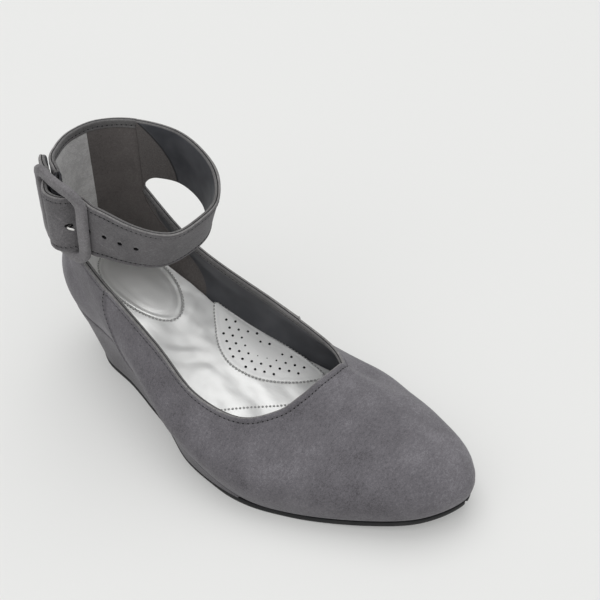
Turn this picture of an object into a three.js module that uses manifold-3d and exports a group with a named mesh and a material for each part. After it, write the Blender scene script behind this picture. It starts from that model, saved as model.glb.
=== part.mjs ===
// A woman's right shoe: a closed pump on a covered low wedge, with a high counter that carries a wide
// ankle strap and a square covered buckle on the outer side.
// Millimetres. The toe points to -Y, the outer side of the foot is -X, and +Z is up.
import * as THREE from "three";
import { mergeVertices } from "three/addons/utils/BufferGeometryUtils.js";
import Module from "manifold-3d";

const wasm = await Module();
wasm.setup();

// Last and upper
const shoeLength = 240; // feather edge, from the back of the heel to the toe tip, along the floor
const lastWidth = 80; // the unit that the tables' "across" is half of
const heelHeight = 34; // the heel seat above the ball
const toeSpring = 8; // the toe tip above the ball
const quarterHeight = 62; // the side wall at the heel, above the feather edge
const wallThickness = 2.2; // suede cloth, backing and lining
const featherRadius = 3; // where the upper turns under
const lastingMargin = 6; // how far the upper reaches under

// Ankle opening and strap
const ankleLength = 84; // of the strap's loop, back to front
const ankleWidth = 62; // of the strap's loop, side to side
const ankleBack = 8; // the loop's back, in front of the heel's back
const ankleRise = 89.5; // the collar's rim above the heel seat, at the back
const ankleSag = 17; // how far the strap's rim hangs lower at the front
const strapTilt = 24; // degrees, the strap's lower edge drawn back at the front
const strapSideTilt = 8; // degrees, the same towards the inner side
const strapWidth = 33;
const strapThickness = 3;
const cornerRadius = 8; // of the strap's lower edge where it meets the quarter
const strapTail = 14; // of the free end, past the buckle's back bar
const shortStrapEnd = 11; // from the short strap's end to the buckle's middle
const holeDiameter = 2.4;
const holePitch = 8;
const holeCount = 5;
const firstHole = 7; // in front of the buckle's middle

// Buckle
const buckleLength = 27; // between the middles of the front and back bars
const buckleMargin = 3.7; // between the strap's edge and the middle of a cross bar
const buckleCorner = 6;
const barWidth = 5.8;
const barThickness = 3.8;
const middleBarDiameter = 2.8;
const prongDiameter = 1.3;
const elasticThickness = 1.1;

// Bottom
const outsoleThickness = 3;
const outsoleInset = 1; // from the feather edge, at the forepart
const heelInset = 6; // the same, at the heel
const heelUndercut = 12; // how far the wedge's back runs forward on its way down
const wedgeInset = 1.2; // the wedge's top, from the feather edge
const archRelief = 1.6; // the outsole off the floor, under the waist
const wedgeNose = 1.5; // the wedge's thickness at its front end
const insoleThickness = 3.5;
const jointGap = 0.3;

// The bottom's side view: shares of the length, and of the heel height, toe spring and arch relief
const BOTTOM_LINE = [
  { along: -0.1, heel: 1.0, toe: 0, arch: 0 },
  { along: 0.0, heel: 1.0, toe: 0, arch: 0 },
  { along: 0.12, heel: 0.985, toe: 0, arch: 0 },
  { along: 0.24, heel: 0.86, toe: 0, arch: 0 },
  { along: 0.34, heel: 0.6, toe: 0, arch: 0 },
  { along: 0.44, heel: 0.4, toe: 0, arch: 1 },
  { along: 0.52, heel: 0.235, toe: 0, arch: 1 },
  { along: 0.6, heel: 0.085, toe: 0, arch: 0 },
  { along: 0.68, heel: 0.0, toe: 0, arch: 0 },
  { along: 0.76, heel: 0.0, toe: 0.04, arch: 0 },
  { along: 0.86, heel: 0.0, toe: 0.35, arch: 0 },
  { along: 0.94, heel: 0.0, toe: 0.72, arch: 0 },
  { along: 1.0, heel: 0.0, toe: 1.0, arch: 0 },
  { along: 1.1, heel: 0.0, toe: 1.6, arch: 0 },
];

// The feather edge and the wall above it, once round from the back of the heel by the outer side.
// along: share of the length. across: share of half the last's width, inner side positive.
// belly and rise: how far the wall starts out and up, shares of the quarter's height.
// steep: the wall's slope where it ends, in degrees. reach: how long it keeps that slope, as a share.
const FEATHER = [
  { place: "heel back", along: 0.0, across: 0.0, belly: 0.1, rise: 0.35, steep: 94, reach: 0.35 },
  { place: "heel back, outer", along: 0.022, across: -0.36, belly: 0.1, rise: 0.35, steep: 93, reach: 0.35 },
  { place: "heel corner, outer", along: 0.1, across: -0.66, belly: 0.11, rise: 0.35, steep: 91, reach: 0.35 },
  { place: "heel side, outer", along: 0.22, across: -0.78, belly: 0.13, rise: 0.33, steep: 87, reach: 0.35 },
  { place: "waist, outer", along: 0.36, across: -0.98, belly: 0.19, rise: 0.32, steep: 82, reach: 0.35 },
  { place: "midfoot, outer", along: 0.48, across: -1.26, belly: 0.2, rise: 0.32, steep: 76, reach: 0.35 },
  { place: "ball, outer", along: 0.615, across: -1.3, belly: 0.165, rise: 0.33, steep: 66, reach: 0.35 },
  { place: "small toe", along: 0.73, across: -1.1, belly: 0.13, rise: 0.34, steep: 50, reach: 0.4 },
  { place: "toe side, outer", along: 0.865, across: -0.71, belly: 0.115, rise: 0.36, steep: 36, reach: 0.42 },
  { place: "toe corner, outer", along: 0.957, across: -0.32, belly: 0.11, rise: 0.36, steep: 26, reach: 0.42 },
  { place: "toe tip", along: 1.0, across: 0.22, belly: 0.105, rise: 0.36, steep: 22, reach: 0.42 },
  { place: "toe corner, inner", along: 0.963, across: 0.6, belly: 0.105, rise: 0.36, steep: 26, reach: 0.42 },
  { place: "toe side, inner", along: 0.88, across: 0.84, belly: 0.11, rise: 0.36, steep: 36, reach: 0.42 },
  { place: "big toe joint", along: 0.79, across: 1.02, belly: 0.115, rise: 0.34, steep: 50, reach: 0.4 },
  { place: "ball, inner", along: 0.7, across: 1.1, belly: 0.105, rise: 0.33, steep: 66, reach: 0.35 },
  { place: "midfoot, inner", along: 0.55, across: 0.87, belly: 0.12, rise: 0.33, steep: 78, reach: 0.35 },
  { place: "waist, inner", along: 0.4, across: 0.63, belly: 0.15, rise: 0.33, steep: 84, reach: 0.35 },
  { place: "heel side, inner", along: 0.23, across: 0.6, belly: 0.13, rise: 0.33, steep: 88, reach: 0.35 },
  { place: "heel corner, inner", along: 0.1, across: 0.62, belly: 0.11, rise: 0.35, steep: 91, reach: 0.35 },
  { place: "heel back, inner", along: 0.022, across: 0.36, belly: 0.1, rise: 0.35, steep: 93, reach: 0.35 },
];
const rowOf = (table, place) => table.findIndex((row) => row.place === place);
const OUTER_CORNER = rowOf(FEATHER, "heel side, outer"); // under the strap's outer seam
const INNER_CORNER = rowOf(FEATHER, "heel side, inner"); // under the strap's inner seam

// The topline between the strap's seams, from the outer side round the throat, row for row with FEATHER.
// up: height above the feather edge, a share of the quarter's height.
// Its two ends are the lower corners of the collar.
const TOPLINE = [
  { along: 0.2, across: -0.845, up: 0.74 },
  { along: 0.376, across: -0.965, up: 0.645 },
  { along: 0.49, across: -1.075, up: 0.565 },
  { along: 0.587, across: -0.95, up: 0.575 },
  { along: 0.64, across: -0.6, up: 0.625 },
  { along: 0.656, across: -0.27, up: 0.665 },
  { along: 0.66, across: 0.02, up: 0.68 },
  { along: 0.662, across: 0.22, up: 0.672 },
  { along: 0.662, across: 0.44, up: 0.655 },
  { along: 0.655, across: 0.56, up: 0.61 },
  { along: 0.605, across: 0.67, up: 0.615 },
  { along: 0.478, across: 0.635, up: 0.64 },
  { along: 0.28, across: 0.525, up: 0.655 },
];

// The ankle strap's loop, once round from the back by the outer side.
// along: share of the loop's length. across: share of half its width. drop: share of the sag.
// tilt: share of the two tilts.
const ANKLE = [
  { place: "back", along: 0.0, across: 0.0, drop: 0.0, tilt: 0.0 },
  { place: "back, outer", along: 0.035, across: -0.42, drop: 0.0, tilt: 0.0 },
  { place: "outer seam", along: 0.13, across: -0.77, drop: 0.02, tilt: 0.0 },
  { place: "outer side", along: 0.4, across: -1.02, drop: 0.15, tilt: 0.15 },
  { place: "front corner, outer", along: 0.74, across: -0.93, drop: 0.57, tilt: 0.8 },
  { place: "front, outer", along: 0.94, across: -0.51, drop: 0.97, tilt: 1.05 },
  { place: "front", along: 0.985, across: 0.08, drop: 0.97, tilt: 1.0 },
  { place: "front, inner", along: 0.945, across: 0.6, drop: 0.9, tilt: 0.95 },
  { place: "front corner, inner", along: 0.77, across: 1.02, drop: 0.58, tilt: 0.75 },
  { place: "inner side", along: 0.5, across: 1.12, drop: 0.18, tilt: 0.4 },
  { place: "inner seam", along: 0.23, across: 0.86, drop: 0.0, tilt: 0.0 },
  { place: "back, inner", along: 0.05, across: 0.47, drop: 0.0, tilt: 0.0 },
];
const OUTER_SEAM = rowOf(ANKLE, "outer seam"); // where the strap is sewn to the collar
const INNER_SEAM = rowOf(ANKLE, "inner seam");
const BUCKLE_ROW = 2.75; // the row of ANKLE behind the buckle's middle bar

// How far the strap stands off its loop round the buckle. at: share of half the buckle's length,
// from its middle bar towards the front. lift: share of the strap's thickness.
const STRAP_LIFT = [
  { at: -2.2, lift: 2.2 },
  { at: -1.6, lift: 1.62 },
  { at: -1.25, lift: 1.5 },
  { at: -0.8, lift: 1.5 },
  { at: -0.42, lift: 2.8 },
  { at: 0.0, lift: 3.6 },
  { at: 0.38, lift: 2.7 },
  { at: 0.72, lift: 0.5 },
  { at: 1.25, lift: 0.4 },
  { at: 1.7, lift: 0.1 },
  { at: 2.2, lift: 0.0 },
  { at: 30.0, lift: 0.0 },
];

const up = new THREE.Vector3(0, 0, 1);
const radians = THREE.MathUtils.degToRad;
const lerp = THREE.MathUtils.lerp;

// A smooth function through one column of a table. Row numbers go in.
function column(rows, name, closed) {
  const last = rows.length - 1;
  const value = (i) => {
    const row = closed ? (i + 2 * rows.length) % rows.length : Math.min(Math.max(i, 0), last);
    return rows[row][name];
  };
  return (t) => {
    const i = Math.floor(t);
    const [a, b, c, d] = [value(i - 1), value(i), value(i + 1), value(i + 2)];
    const f = t - i;
    return b + 0.5 * f * (c - a + f * (2 * a - 5 * b + 4 * c - d + f * (3 * (b - c) + d - a)));
  };
}

// The same for a table whose rows are at uneven places along a line.
function profile(rows, at, name) {
  return (x) => {
    let i = rows.findIndex((r) => r[at] > x) - 1;
    if (i < 0) i = x < rows[0][at] ? 0 : rows.length - 2;
    const [p, q] = [rows[i], rows[i + 1]];
    const slope = (j) => {
      const [l, r] = [rows[Math.max(j - 1, 0)], rows[Math.min(j + 1, rows.length - 1)]];
      return (r[name] - l[name]) / (r[at] - l[at]);
    };
    const h = q[at] - p[at];
    const f = (x - p[at]) / h;
    return (
      p[name] * (1 + 2 * f) * (1 - f) ** 2 + q[name] * f * f * (3 - 2 * f) +
      h * (slope(i) * f * (1 - f) ** 2 - slope(i + 1) * f * f * (1 - f))
    );
  };
}

const heelShare = profile(BOTTOM_LINE, "along", "heel");
const toeShare = profile(BOTTOM_LINE, "along", "toe");
const archShare = profile(BOTTOM_LINE, "along", "arch");
const liftShare = profile(STRAP_LIFT, "at", "lift");

// Heights above the floor: the outsole's underside and top, and the feather edge
const treadHeight = (along) => {
  return toeSpring * Math.max(0, toeShare(along)) + archRelief * Math.max(0, archShare(along));
};
const outsoleTop = (along) => outsoleThickness + toeSpring * toeShare(along);
const featherHeight = (along) => outsoleTop(along) + jointGap + heelHeight * heelShare(along);

const feather = Object.fromEntries(
  ["along", "across", "belly", "rise", "steep", "reach"].map((name) => [name, column(FEATHER, name, true)]),
);
const loop = Object.fromEntries(
  ["along", "across", "drop", "tilt"].map((name) => [name, column(ANKLE, name, true)]),
);

// A point on the feather edge, at a row number of FEATHER
function foot(t) {
  const along = feather.along(t);
  return new THREE.Vector3((feather.across(t) * lastWidth) / 2, -along * shoeLength, featherHeight(along));
}

// Level outward direction of a path that runs counter-clockwise seen from above
function outward(path, t) {
  const step = path(t + 0.05).sub(path(t - 0.05));
  return new THREE.Vector3(step.y, -step.x, 0).normalize();
}

// The ankle strap's loop at a row number of ANKLE: level 0 is the strap's lower edge, 1 its upper one
function ankle(t, level) {
  const rim = featherHeight(0) + ankleRise - ankleSag * loop.drop(t);
  const width = strapWidth * (1 - level);
  const tilt = loop.tilt(t);
  const [back, side] = [Math.sin(radians(strapTilt) * tilt), Math.sin(radians(strapSideTilt) * tilt)];
  return new THREE.Vector3(
    (loop.across(t) * ankleWidth) / 2 + width * side,
    -(ankleBack + loop.along(t) * ankleLength) + width * back,
    rim - width * Math.sqrt(1 - back * back - side * side),
  );
}
const ankleMiddle = (t) => ankle(t, 0.5);

const collarBase = -cornerRadius / strapWidth; // the level where the wall passes into the collar

const toplinePoints = [
  ankle(OUTER_SEAM, collarBase),
  ...TOPLINE.map(({ along, across, up: height }) => new THREE.Vector3(
    (across * lastWidth) / 2,
    -along * shoeLength,
    featherHeight(along) + height * quarterHeight,
  )),
  ankle(INNER_SEAM, collarBase),
];
const topline = Object.fromEntries(["x", "y", "z"].map((name) => [name, column(toplinePoints, name, false)]));
const backRows = FEATHER.length - INNER_CORNER + OUTER_CORNER;
const backSeams = ANKLE.length - INNER_SEAM + OUTER_SEAM;

// Where the wall ends at a row number of FEATHER: on the topline, or at the collar's lower edge
function top(t) {
  if (t >= OUTER_CORNER && t <= INNER_CORNER) {
    const i = t - OUTER_CORNER;
    return new THREE.Vector3(topline.x(i), topline.y(i), topline.z(i));
  }
  const share = ((t - INNER_CORNER + FEATHER.length) % FEATHER.length) / backRows;
  return ankle(INNER_SEAM + share * backSeams, collarBase);
}

// The wall's outer face at row number t: s runs from the feather edge, 0, to the top, 1
function wall(t, s) {
  const start = foot(t).addScaledVector(up, featherRadius);
  const end = top(t);
  const out = outward(foot, t);
  const low = start.clone()
    .addScaledVector(out, feather.belly(t) * quarterHeight)
    .addScaledVector(up, feather.rise(t) * quarterHeight);
  const level = start.clone().sub(end).setZ(0).addScaledVector(out, featherRadius * 2).normalize();
  const steep = radians(feather.steep(t));
  const reach = feather.reach(t) * start.distanceTo(end);
  const high = end.clone()
    .addScaledVector(level, Math.cos(steep) * reach)
    .addScaledVector(up, -Math.sin(steep) * reach);
  return new THREE.CubicBezierCurve3(start, low, high, end).getPoint(s);
}

// The turn under the foot: s runs from the inner edge of the margin, 0, to the wall, 1
function turnedEdge(t, s) {
  const flat = lastingMargin - featherRadius;
  const arc = (featherRadius * Math.PI) / 2;
  const walked = s * (flat + arc);
  const angle = Math.max(0, walked - flat) / featherRadius;
  const inset = lastingMargin - Math.min(walked, flat) - Math.sin(angle) * featherRadius;
  const p = foot(t).addScaledVector(outward(foot, t), -inset);
  p.z = lerp(featherHeight(-p.y / shoeLength), p.z, s * s) + featherRadius * (1 - Math.cos(angle));
  return p;
}

function geometryOf(points, triangles) {
  const geometry = new THREE.BufferGeometry();
  const coordinates = points.flatMap((p) => [p.x, p.y, p.z]);
  geometry.setAttribute("position", new THREE.Float32BufferAttribute(coordinates, 3));
  geometry.setIndex(triangles.flat());
  return geometry;
}

// A sheet of points and four-cornered faces, given a thickness to its inner side and closed at its edges
function thicken(points, faces, thickness) {
  const normals = points.map(() => new THREE.Vector3());
  for (const f of faces) {
    const [a, b, c, d] = f.map((i) => points[i]);
    const n = new THREE.Vector3().crossVectors(c.clone().sub(a), d.clone().sub(b));
    for (const i of f) normals[i].add(n);
  }
  const inner = points.map((p, i) => p.clone().addScaledVector(normals[i].normalize(), -thickness));
  const count = points.length;
  const triangles = [];
  const quad = (a, b, c, d) => triangles.push([a, b, c], [a, c, d]);
  const edges = new Map();
  for (const f of faces) {
    quad(...f);
    quad(...[...f].reverse().map((i) => i + count));
    f.forEach((a, k) => edges.set(`${a},${f[(k + 1) % 4]}`, [a, f[(k + 1) % 4]]));
  }
  for (const [a, b] of edges.values()) {
    if (!edges.has(`${b},${a}`)) quad(b, a, a + count, b + count);
  }
  return geometryOf([...points, ...inner], triangles);
}

// A solid through rings of points, with flat ends unless it is closed on itself
function through(rings, closed = false) {
  const size = rings[0].length;
  const points = rings.flat();
  const triangles = [];
  const steps = closed ? rings.length : rings.length - 1;
  for (let i = 0; i < steps; i++) {
    for (let j = 0; j < size; j++) {
      const next = (i + 1) % rings.length;
      const [a, b] = [i * size + j, i * size + ((j + 1) % size)];
      const [c, d] = [next * size + j, next * size + ((j + 1) % size)];
      triangles.push([a, b, d], [a, d, c]);
    }
  }
  const last = (rings.length - 1) * size;
  for (let j = 1; !closed && j < size - 1; j++) {
    triangles.push([0, j + 1, j], [last, last + j, last + j + 1]);
  }
  const volume = triangles.reduce((sum, [a, b, c]) => {
    return sum + points[a].dot(new THREE.Vector3().crossVectors(points[b], points[c]));
  }, 0);
  return geometryOf(points, volume < 0 ? triangles.map(([a, b, c]) => [a, c, b]) : triangles);
}

// Joins or cuts closed solids
function combined(method, geometries) {
  const solids = geometries.map((geometry) => {
    const plain = new THREE.BufferGeometry();
    plain.setAttribute("position", geometry.getAttribute("position").clone());
    if (geometry.index) plain.setIndex(geometry.index.clone());
    const merged = mergeVertices(plain, 1e-5);
    return new wasm.Manifold(new wasm.Mesh({
      numProp: 3,
      vertProperties: new Float32Array(merged.getAttribute("position").array),
      triVerts: new Uint32Array(merged.index.array),
    }));
  });
  const mesh = wasm.Manifold[method](solids).getMesh();
  const geometry = new THREE.BufferGeometry();
  geometry.setAttribute("position", new THREE.BufferAttribute(new Float32Array(mesh.vertProperties), 3));
  geometry.setIndex(Array.from(mesh.triVerts));
  return geometry;
}

// Upper: vamp, quarters and the counter that rises to the collar
const columnsPerRow = 4;
const wallRows = 10;
const turnRows = 4;
const collarRows = 4;

function upperGeometry() {
  const columns = FEATHER.length * columnsPerRow;
  const points = [];
  const index = new Map();
  const put = (c, r, p) => {
    index.set(`${c},${r}`, points.length);
    points.push(p);
  };
  const mainRows = turnRows + wallRows;
  for (let c = 0; c < columns; c++) {
    const t = c / columnsPerRow;
    for (let r = 0; r < turnRows; r++) put(c, r, turnedEdge(t, r / turnRows));
    for (let r = 0; r <= wallRows; r++) put(c, turnRows + r, wall(t, (r / wallRows) ** 1.15));
  }
  const firstCollar = INNER_CORNER * columnsPerRow;
  const collarSpan = backRows * columnsPerRow;
  for (let k = 0; k <= collarSpan; k++) {
    const t = INNER_SEAM + (backSeams * k) / collarSpan;
    for (let r = 1; r <= collarRows; r++) {
      put((firstCollar + k) % columns, mainRows + r, ankle(t, lerp(collarBase, 1, r / collarRows)));
    }
  }
  const faces = [];
  const cell = (c, r) => {
    const d = (c + 1) % columns;
    faces.push([[c, r], [d, r], [d, r + 1], [c, r + 1]].map(([i, j]) => index.get(`${i},${j}`)));
  };
  for (let c = 0; c < columns; c++) for (let r = 0; r < mainRows; r++) cell(c, r);
  for (let k = 0; k < collarSpan; k++) {
    for (let r = 0; r < collarRows; r++) cell((firstCollar + k) % columns, mainRows + r);
  }
  return thicken(points, faces, wallThickness);
}

// Bottom pieces: cross sections from the heel to the toe. A corner of a section is an inset from the
// feather edge, a height, and a share of the heel's undercut.
const toeRow = FEATHER.findIndex(({ place }) => place === "toe tip");
const undercutEnd = 0.3; // share of the length where the undercut has run out

// The row of the feather edge at a share of the length, searched between the heel and the toe on one side
function rowWhere(along, heelRow) {
  let [near, far] = [heelRow, toeRow];
  for (let i = 0; i < 30; i++) {
    const middle = (near + far) / 2;
    if (feather.along(middle) < along) near = middle;
    else far = middle;
  }
  return near;
}

function bottomPiece(first, last, steps, corners) {
  const rings = [];
  for (let i = 0; i <= steps; i++) {
    const along = lerp(first, last, (1 - Math.cos((Math.PI * i) / steps)) / 2);
    const sides = [0, FEATHER.length].map((heelRow) => {
      const t = rowWhere(along, heelRow);
      return corners(along).map(([inset, , undercut], k) => {
        const p = foot(t).addScaledVector(outward(foot, t), -inset);
        p.z = corners(-p.y / shoeLength)[k][1];
        p.y -= undercut * heelUndercut * Math.max(0, 1 - along / undercutEnd);
        return p;
      });
    });
    rings.push([...sides[0], ...sides[1].reverse()]);
  }
  return through(rings);
}

const heelEnd = feather.along(0.12); // where the first and last sections stand
const toeEnd = feather.along(toeRow - 0.12);
const treadInset = (along) => lerp(outsoleInset, heelInset, Math.max(0, heelShare(along)));

const outsoleGeometry = bottomPiece(heelEnd, toeEnd, 56, (along) => [
  [treadInset(along) + 0.4, outsoleTop(along), 1],
  [treadInset(along), outsoleTop(along) - 0.5, 1],
  [treadInset(along), treadHeight(along) + 0.6, 1],
  [treadInset(along) + 0.8, treadHeight(along), 1],
]);

// The share of the length where the wedge has thinned to its nose
let noseEnd = undercutEnd;
while (heelHeight * heelShare(noseEnd) - jointGap > wedgeNose) noseEnd += 0.002;

const wedgeGeometry = bottomPiece(heelEnd, noseEnd, 34, (along) => {
  const base = outsoleTop(along) + jointGap;
  const rise = heelHeight * heelShare(along) - jointGap;
  const inset = (share) => lerp(wedgeInset, treadInset(along), share);
  return [
    [inset(0) + 0.5, base + rise, 0],
    [inset(0), base + rise * 0.94, 0.02],
    [inset(0.42), base + rise * 0.7, 0.2],
    [inset(0.78), base + rise * 0.35, 0.55],
    [inset(1), base + rise * 0.03, 0.97],
    [inset(1) + 0.5, base, 1],
  ];
});

const insoleInset = wallThickness + 7 * jointGap;
const insoleGeometry = bottomPiece(heelEnd, toeEnd, 56, (along) => {
  const floor = featherHeight(along) + wallThickness + 2 * jointGap;
  return [
    [insoleInset + 0.8, floor + insoleThickness, 0],
    [insoleInset, floor + insoleThickness - 0.8, 0],
    [insoleInset, floor, 0],
    [lastingMargin + 3 * jointGap, floor, 0],
    [lastingMargin + 3 * jointGap, floor - wallThickness, 0],
  ];
});

// Straps. Distances run round the loop from the buckle's middle, forwards positive.
const loopSteps = 1200;
const loopTable = [];
let walked = 0;
for (let i = 0; i <= loopSteps; i++) {
  const t = BUCKLE_ROW - ANKLE.length / 2 + (ANKLE.length * 1.5 * i) / loopSteps;
  if (i > 0) walked += ankleMiddle(t).distanceTo(ankleMiddle(loopTable[i - 1].t));
  loopTable.push({ t, walked });
}

function interpolate(from, to, x) {
  let i = loopTable.findIndex((row) => row[from] > x);
  if (i < 1) i = i === 0 ? 1 : loopTable.length - 1;
  const [p, q] = [loopTable[i - 1], loopTable[i]];
  return lerp(p[to], q[to], (x - p[from]) / (q[from] - p[from]));
}
const buckleWalk = interpolate("t", "walked", BUCKLE_ROW);
const rowAt = (distance) => interpolate("walked", "t", buckleWalk + distance);
const distanceOf = (t) => interpolate("t", "walked", t) - buckleWalk;

// A point off the loop: distance round it, height above the strap's middle, and stand-off outwards
function offLoop(distance, height, standOff) {
  const t = rowAt(distance);
  return ankle(t, 0.5 + height / strapWidth).addScaledVector(outward(ankleMiddle, t), standOff);
}

// A strap's section at a distance: stand-off of its outer face, and its two edges' heights
function strapRing(distance, standOff, low, high) {
  const soft = strapThickness * 0.27;
  const corners = [
    [low + soft, 0], [high - soft, 0], [high, -soft], [high, soft - strapThickness],
    [high - soft, -strapThickness], [low + soft, -strapThickness], [low, soft - strapThickness], [low, -soft],
  ];
  return corners.map(([height, depth]) => offLoop(distance, height, standOff + depth));
}

const halfStrap = strapWidth / 2;
const halfBuckle = buckleLength / 2;
const liftAt = (distance) => strapThickness * liftShare(distance / halfBuckle);

// How far the strap's lower edge reaches down near its seam, to round off the corner of the gap
function flare(away) {
  const share = Math.max(0, 1 - away / cornerRadius);
  return cornerRadius * (1 - Math.sqrt(1 - share * share));
}

// The tail's corners are rounded
function tailCut(away) {
  const share = Math.max(0, 1 - away / cornerRadius);
  return cornerRadius * (1 - Math.sqrt(1 - share * share)) * 0.8;
}

const tailEnd = -(halfBuckle + strapTail);
const innerSeam = distanceOf(INNER_SEAM) - 1.5 * jointGap;
const outerSeam = distanceOf(OUTER_SEAM) + 1.5 * jointGap;

function stops(from, to, count, near) {
  const list = [];
  for (let i = 0; i <= count; i++) list.push(lerp(from, to, i / count));
  return [...list, ...near].sort((a, b) => a - b);
}

function strapBand() {
  const ends = [0.4, 1.2, 2.4, 3.8];
  const near = [...ends.map((e) => tailEnd + e), ...ends.map((e) => innerSeam - e)];
  const rings = stops(tailEnd, innerSeam, 64, near).map((d) => {
    const cut = tailCut(d - tailEnd);
    return strapRing(d, liftAt(d), cut - halfStrap - flare(innerSeam - d), halfStrap - cut);
  });
  return through(rings);
}

// A round bar across the strap's outer face, at a distance, for the punched holes
function punch(distance) {
  const bore = new THREE.CylinderGeometry(holeDiameter / 2, holeDiameter / 2, strapThickness * 4, 14);
  const middle = liftAt(distance) - strapThickness / 2;
  const inside = offLoop(distance, 0, middle - 1);
  const direction = offLoop(distance, 0, middle + 1).sub(inside).normalize();
  bore.applyQuaternion(new THREE.Quaternion().setFromUnitVectors(new THREE.Vector3(0, 1, 0), direction));
  const centre = offLoop(distance, 0, middle);
  return bore.translate(centre.x, centre.y, centre.z);
}

const ankleStrapGeometry = combined("difference", [
  strapBand(),
  ...Array.from({ length: holeCount }, (_, i) => punch(firstHole + i * holePitch)),
]);

const buckleStrapGeometry = through(
  stops(outerSeam, -shortStrapEnd, 6, [0.4, 1.2, 2.4, 3.8].map((e) => outerSeam + e))
    .map((d) => strapRing(d, 0, -halfStrap - flare(d - outerSeam), halfStrap)),
);

// Buckle: a bowed frame with rounded corners, and a middle bar
const frontBar = liftAt(halfBuckle) + jointGap + barThickness / 2;
const backBar = liftAt(-halfBuckle) + jointGap + barThickness / 2;
const frameStandOff = (distance) => lerp(backBar, frontBar, (distance + halfBuckle) / buckleLength);
const halfFrame = halfStrap + buckleMargin;
const middleBar = frameStandOff(0) - 1;

// A bar along a path of [distance, height, stand-off], with its section given as [across, out] corners
function bar(path, section, closed) {
  const at = ([distance, height, standOff]) => offLoop(distance, height, standOff);
  const count = path.length;
  const pick = (i) => path[closed ? (i + count) % count : Math.min(Math.max(i, 0), count - 1)];
  const rings = path.map((p, i) => {
    const along = at(pick(i + 1)).sub(at(pick(i - 1))).normalize();
    const [distance, height, standOff] = p;
    const out = offLoop(distance, height, standOff + 1).sub(offLoop(distance, height, standOff)).normalize();
    const side = new THREE.Vector3().crossVectors(along, out).normalize();
    const face = new THREE.Vector3().crossVectors(side, along).normalize();
    return section.map(([u, v]) => at(p).addScaledVector(side, u).addScaledVector(face, v));
  });
  return through(rings, closed);
}

function roundSection(diameter, corners) {
  return Array.from({ length: corners }, (_, i) => {
    const angle = (2 * Math.PI * i) / corners;
    return [(Math.cos(angle) * diameter) / 2, (Math.sin(angle) * diameter) / 2];
  });
}

function softSection(width, thickness, soft) {
  const [w, h] = [width / 2, thickness / 2];
  return [
    [w, soft - h], [w, h - soft], [w - soft, h], [soft - w, h],
    [-w, h - soft], [-w, soft - h], [soft - w, -h], [w - soft, -h],
  ];
}

function framePath() {
  const path = [];
  const corner = (x, z, from) => {
    for (let i = 0; i <= 4; i++) {
      const angle = radians(from + (90 * i) / 4);
      path.push([x + Math.cos(angle) * buckleCorner, z + Math.sin(angle) * buckleCorner]);
    }
  };
  const [x, z] = [halfBuckle - buckleCorner, halfFrame - buckleCorner];
  corner(x, z, 0);
  for (const share of [0.5, 0, -0.5]) path.push([x * share, halfFrame]);
  corner(-x, z, 90);
  corner(-x, -z, 180);
  for (const share of [-0.5, 0, 0.5]) path.push([x * share, -halfFrame]);
  corner(x, -z, 270);
  return path.map(([distance, height]) => [distance, height, frameStandOff(distance)]);
}

const buckleGeometry = combined("union", [
  bar(framePath(), softSection(barWidth, barThickness, 1), true),
  bar([-1, 1].map((side) => [0, side * halfFrame, middleBar]), roundSection(middleBarDiameter, 12), false),
]);

// Elastic: from the short strap's end, round the middle bar and back, with a slot for the prong
const elasticRound = middleBarDiameter / 2 + jointGap + elasticThickness / 2;
const plyApart = elasticThickness + jointGap;
const plyMiddle = -strapThickness / 2;
const elasticStart = -shortStrapEnd + jointGap;

function elasticBand(low, high) {
  const path = [
    [elasticStart, plyMiddle + plyApart / 2],
    [elasticStart * 0.8, plyMiddle + plyApart / 2 + 0.7],
    [elasticStart * 0.5, middleBar * 0.55 + 0.6],
    [elasticStart * 0.25, middleBar + elasticRound - 1.1],
  ];
  for (let i = 0; i <= 8; i++) {
    const angle = radians(100 - (200 * i) / 8);
    path.push([Math.cos(angle) * elasticRound, middleBar + Math.sin(angle) * elasticRound]);
  }
  path.push(
    [elasticStart * 0.35, middleBar * 0.25 - 0.9],
    [elasticStart * 0.7, plyMiddle - plyApart / 2 + 0.15],
    [elasticStart, plyMiddle - plyApart / 2],
  );
  const rings = path.map((p, i) => {
    const [before, after] = [path[Math.max(i - 1, 0)], path[Math.min(i + 1, path.length - 1)]];
    const step = new THREE.Vector2(after[0] - before[0], after[1] - before[1]).normalize();
    const half = elasticThickness / 2;
    return [[1, low], [1, high], [-1, high], [-1, low]].map(([side, height]) => {
      return offLoop(p[0] - step.y * half * side, height, p[1] + step.x * half * side);
    });
  });
  return through(rings);
}
const elasticWidth = strapWidth - 2;
const slotHeight = prongDiameter + 2;

function slot() {
  const [from, to] = [-elasticRound - 1.6, elasticRound + 2];
  const ring = (d) => [[-1, -2], [-1, 12], [1, 12], [1, -2]].map(([side, out]) => {
    return offLoop(d, (side * slotHeight) / 2, out - 0.4);
  });
  return through([ring(from), ring(to)]);
}
const elasticGeometry = combined("difference", [elasticBand(-elasticWidth / 2, elasticWidth / 2), slot()]);

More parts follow.
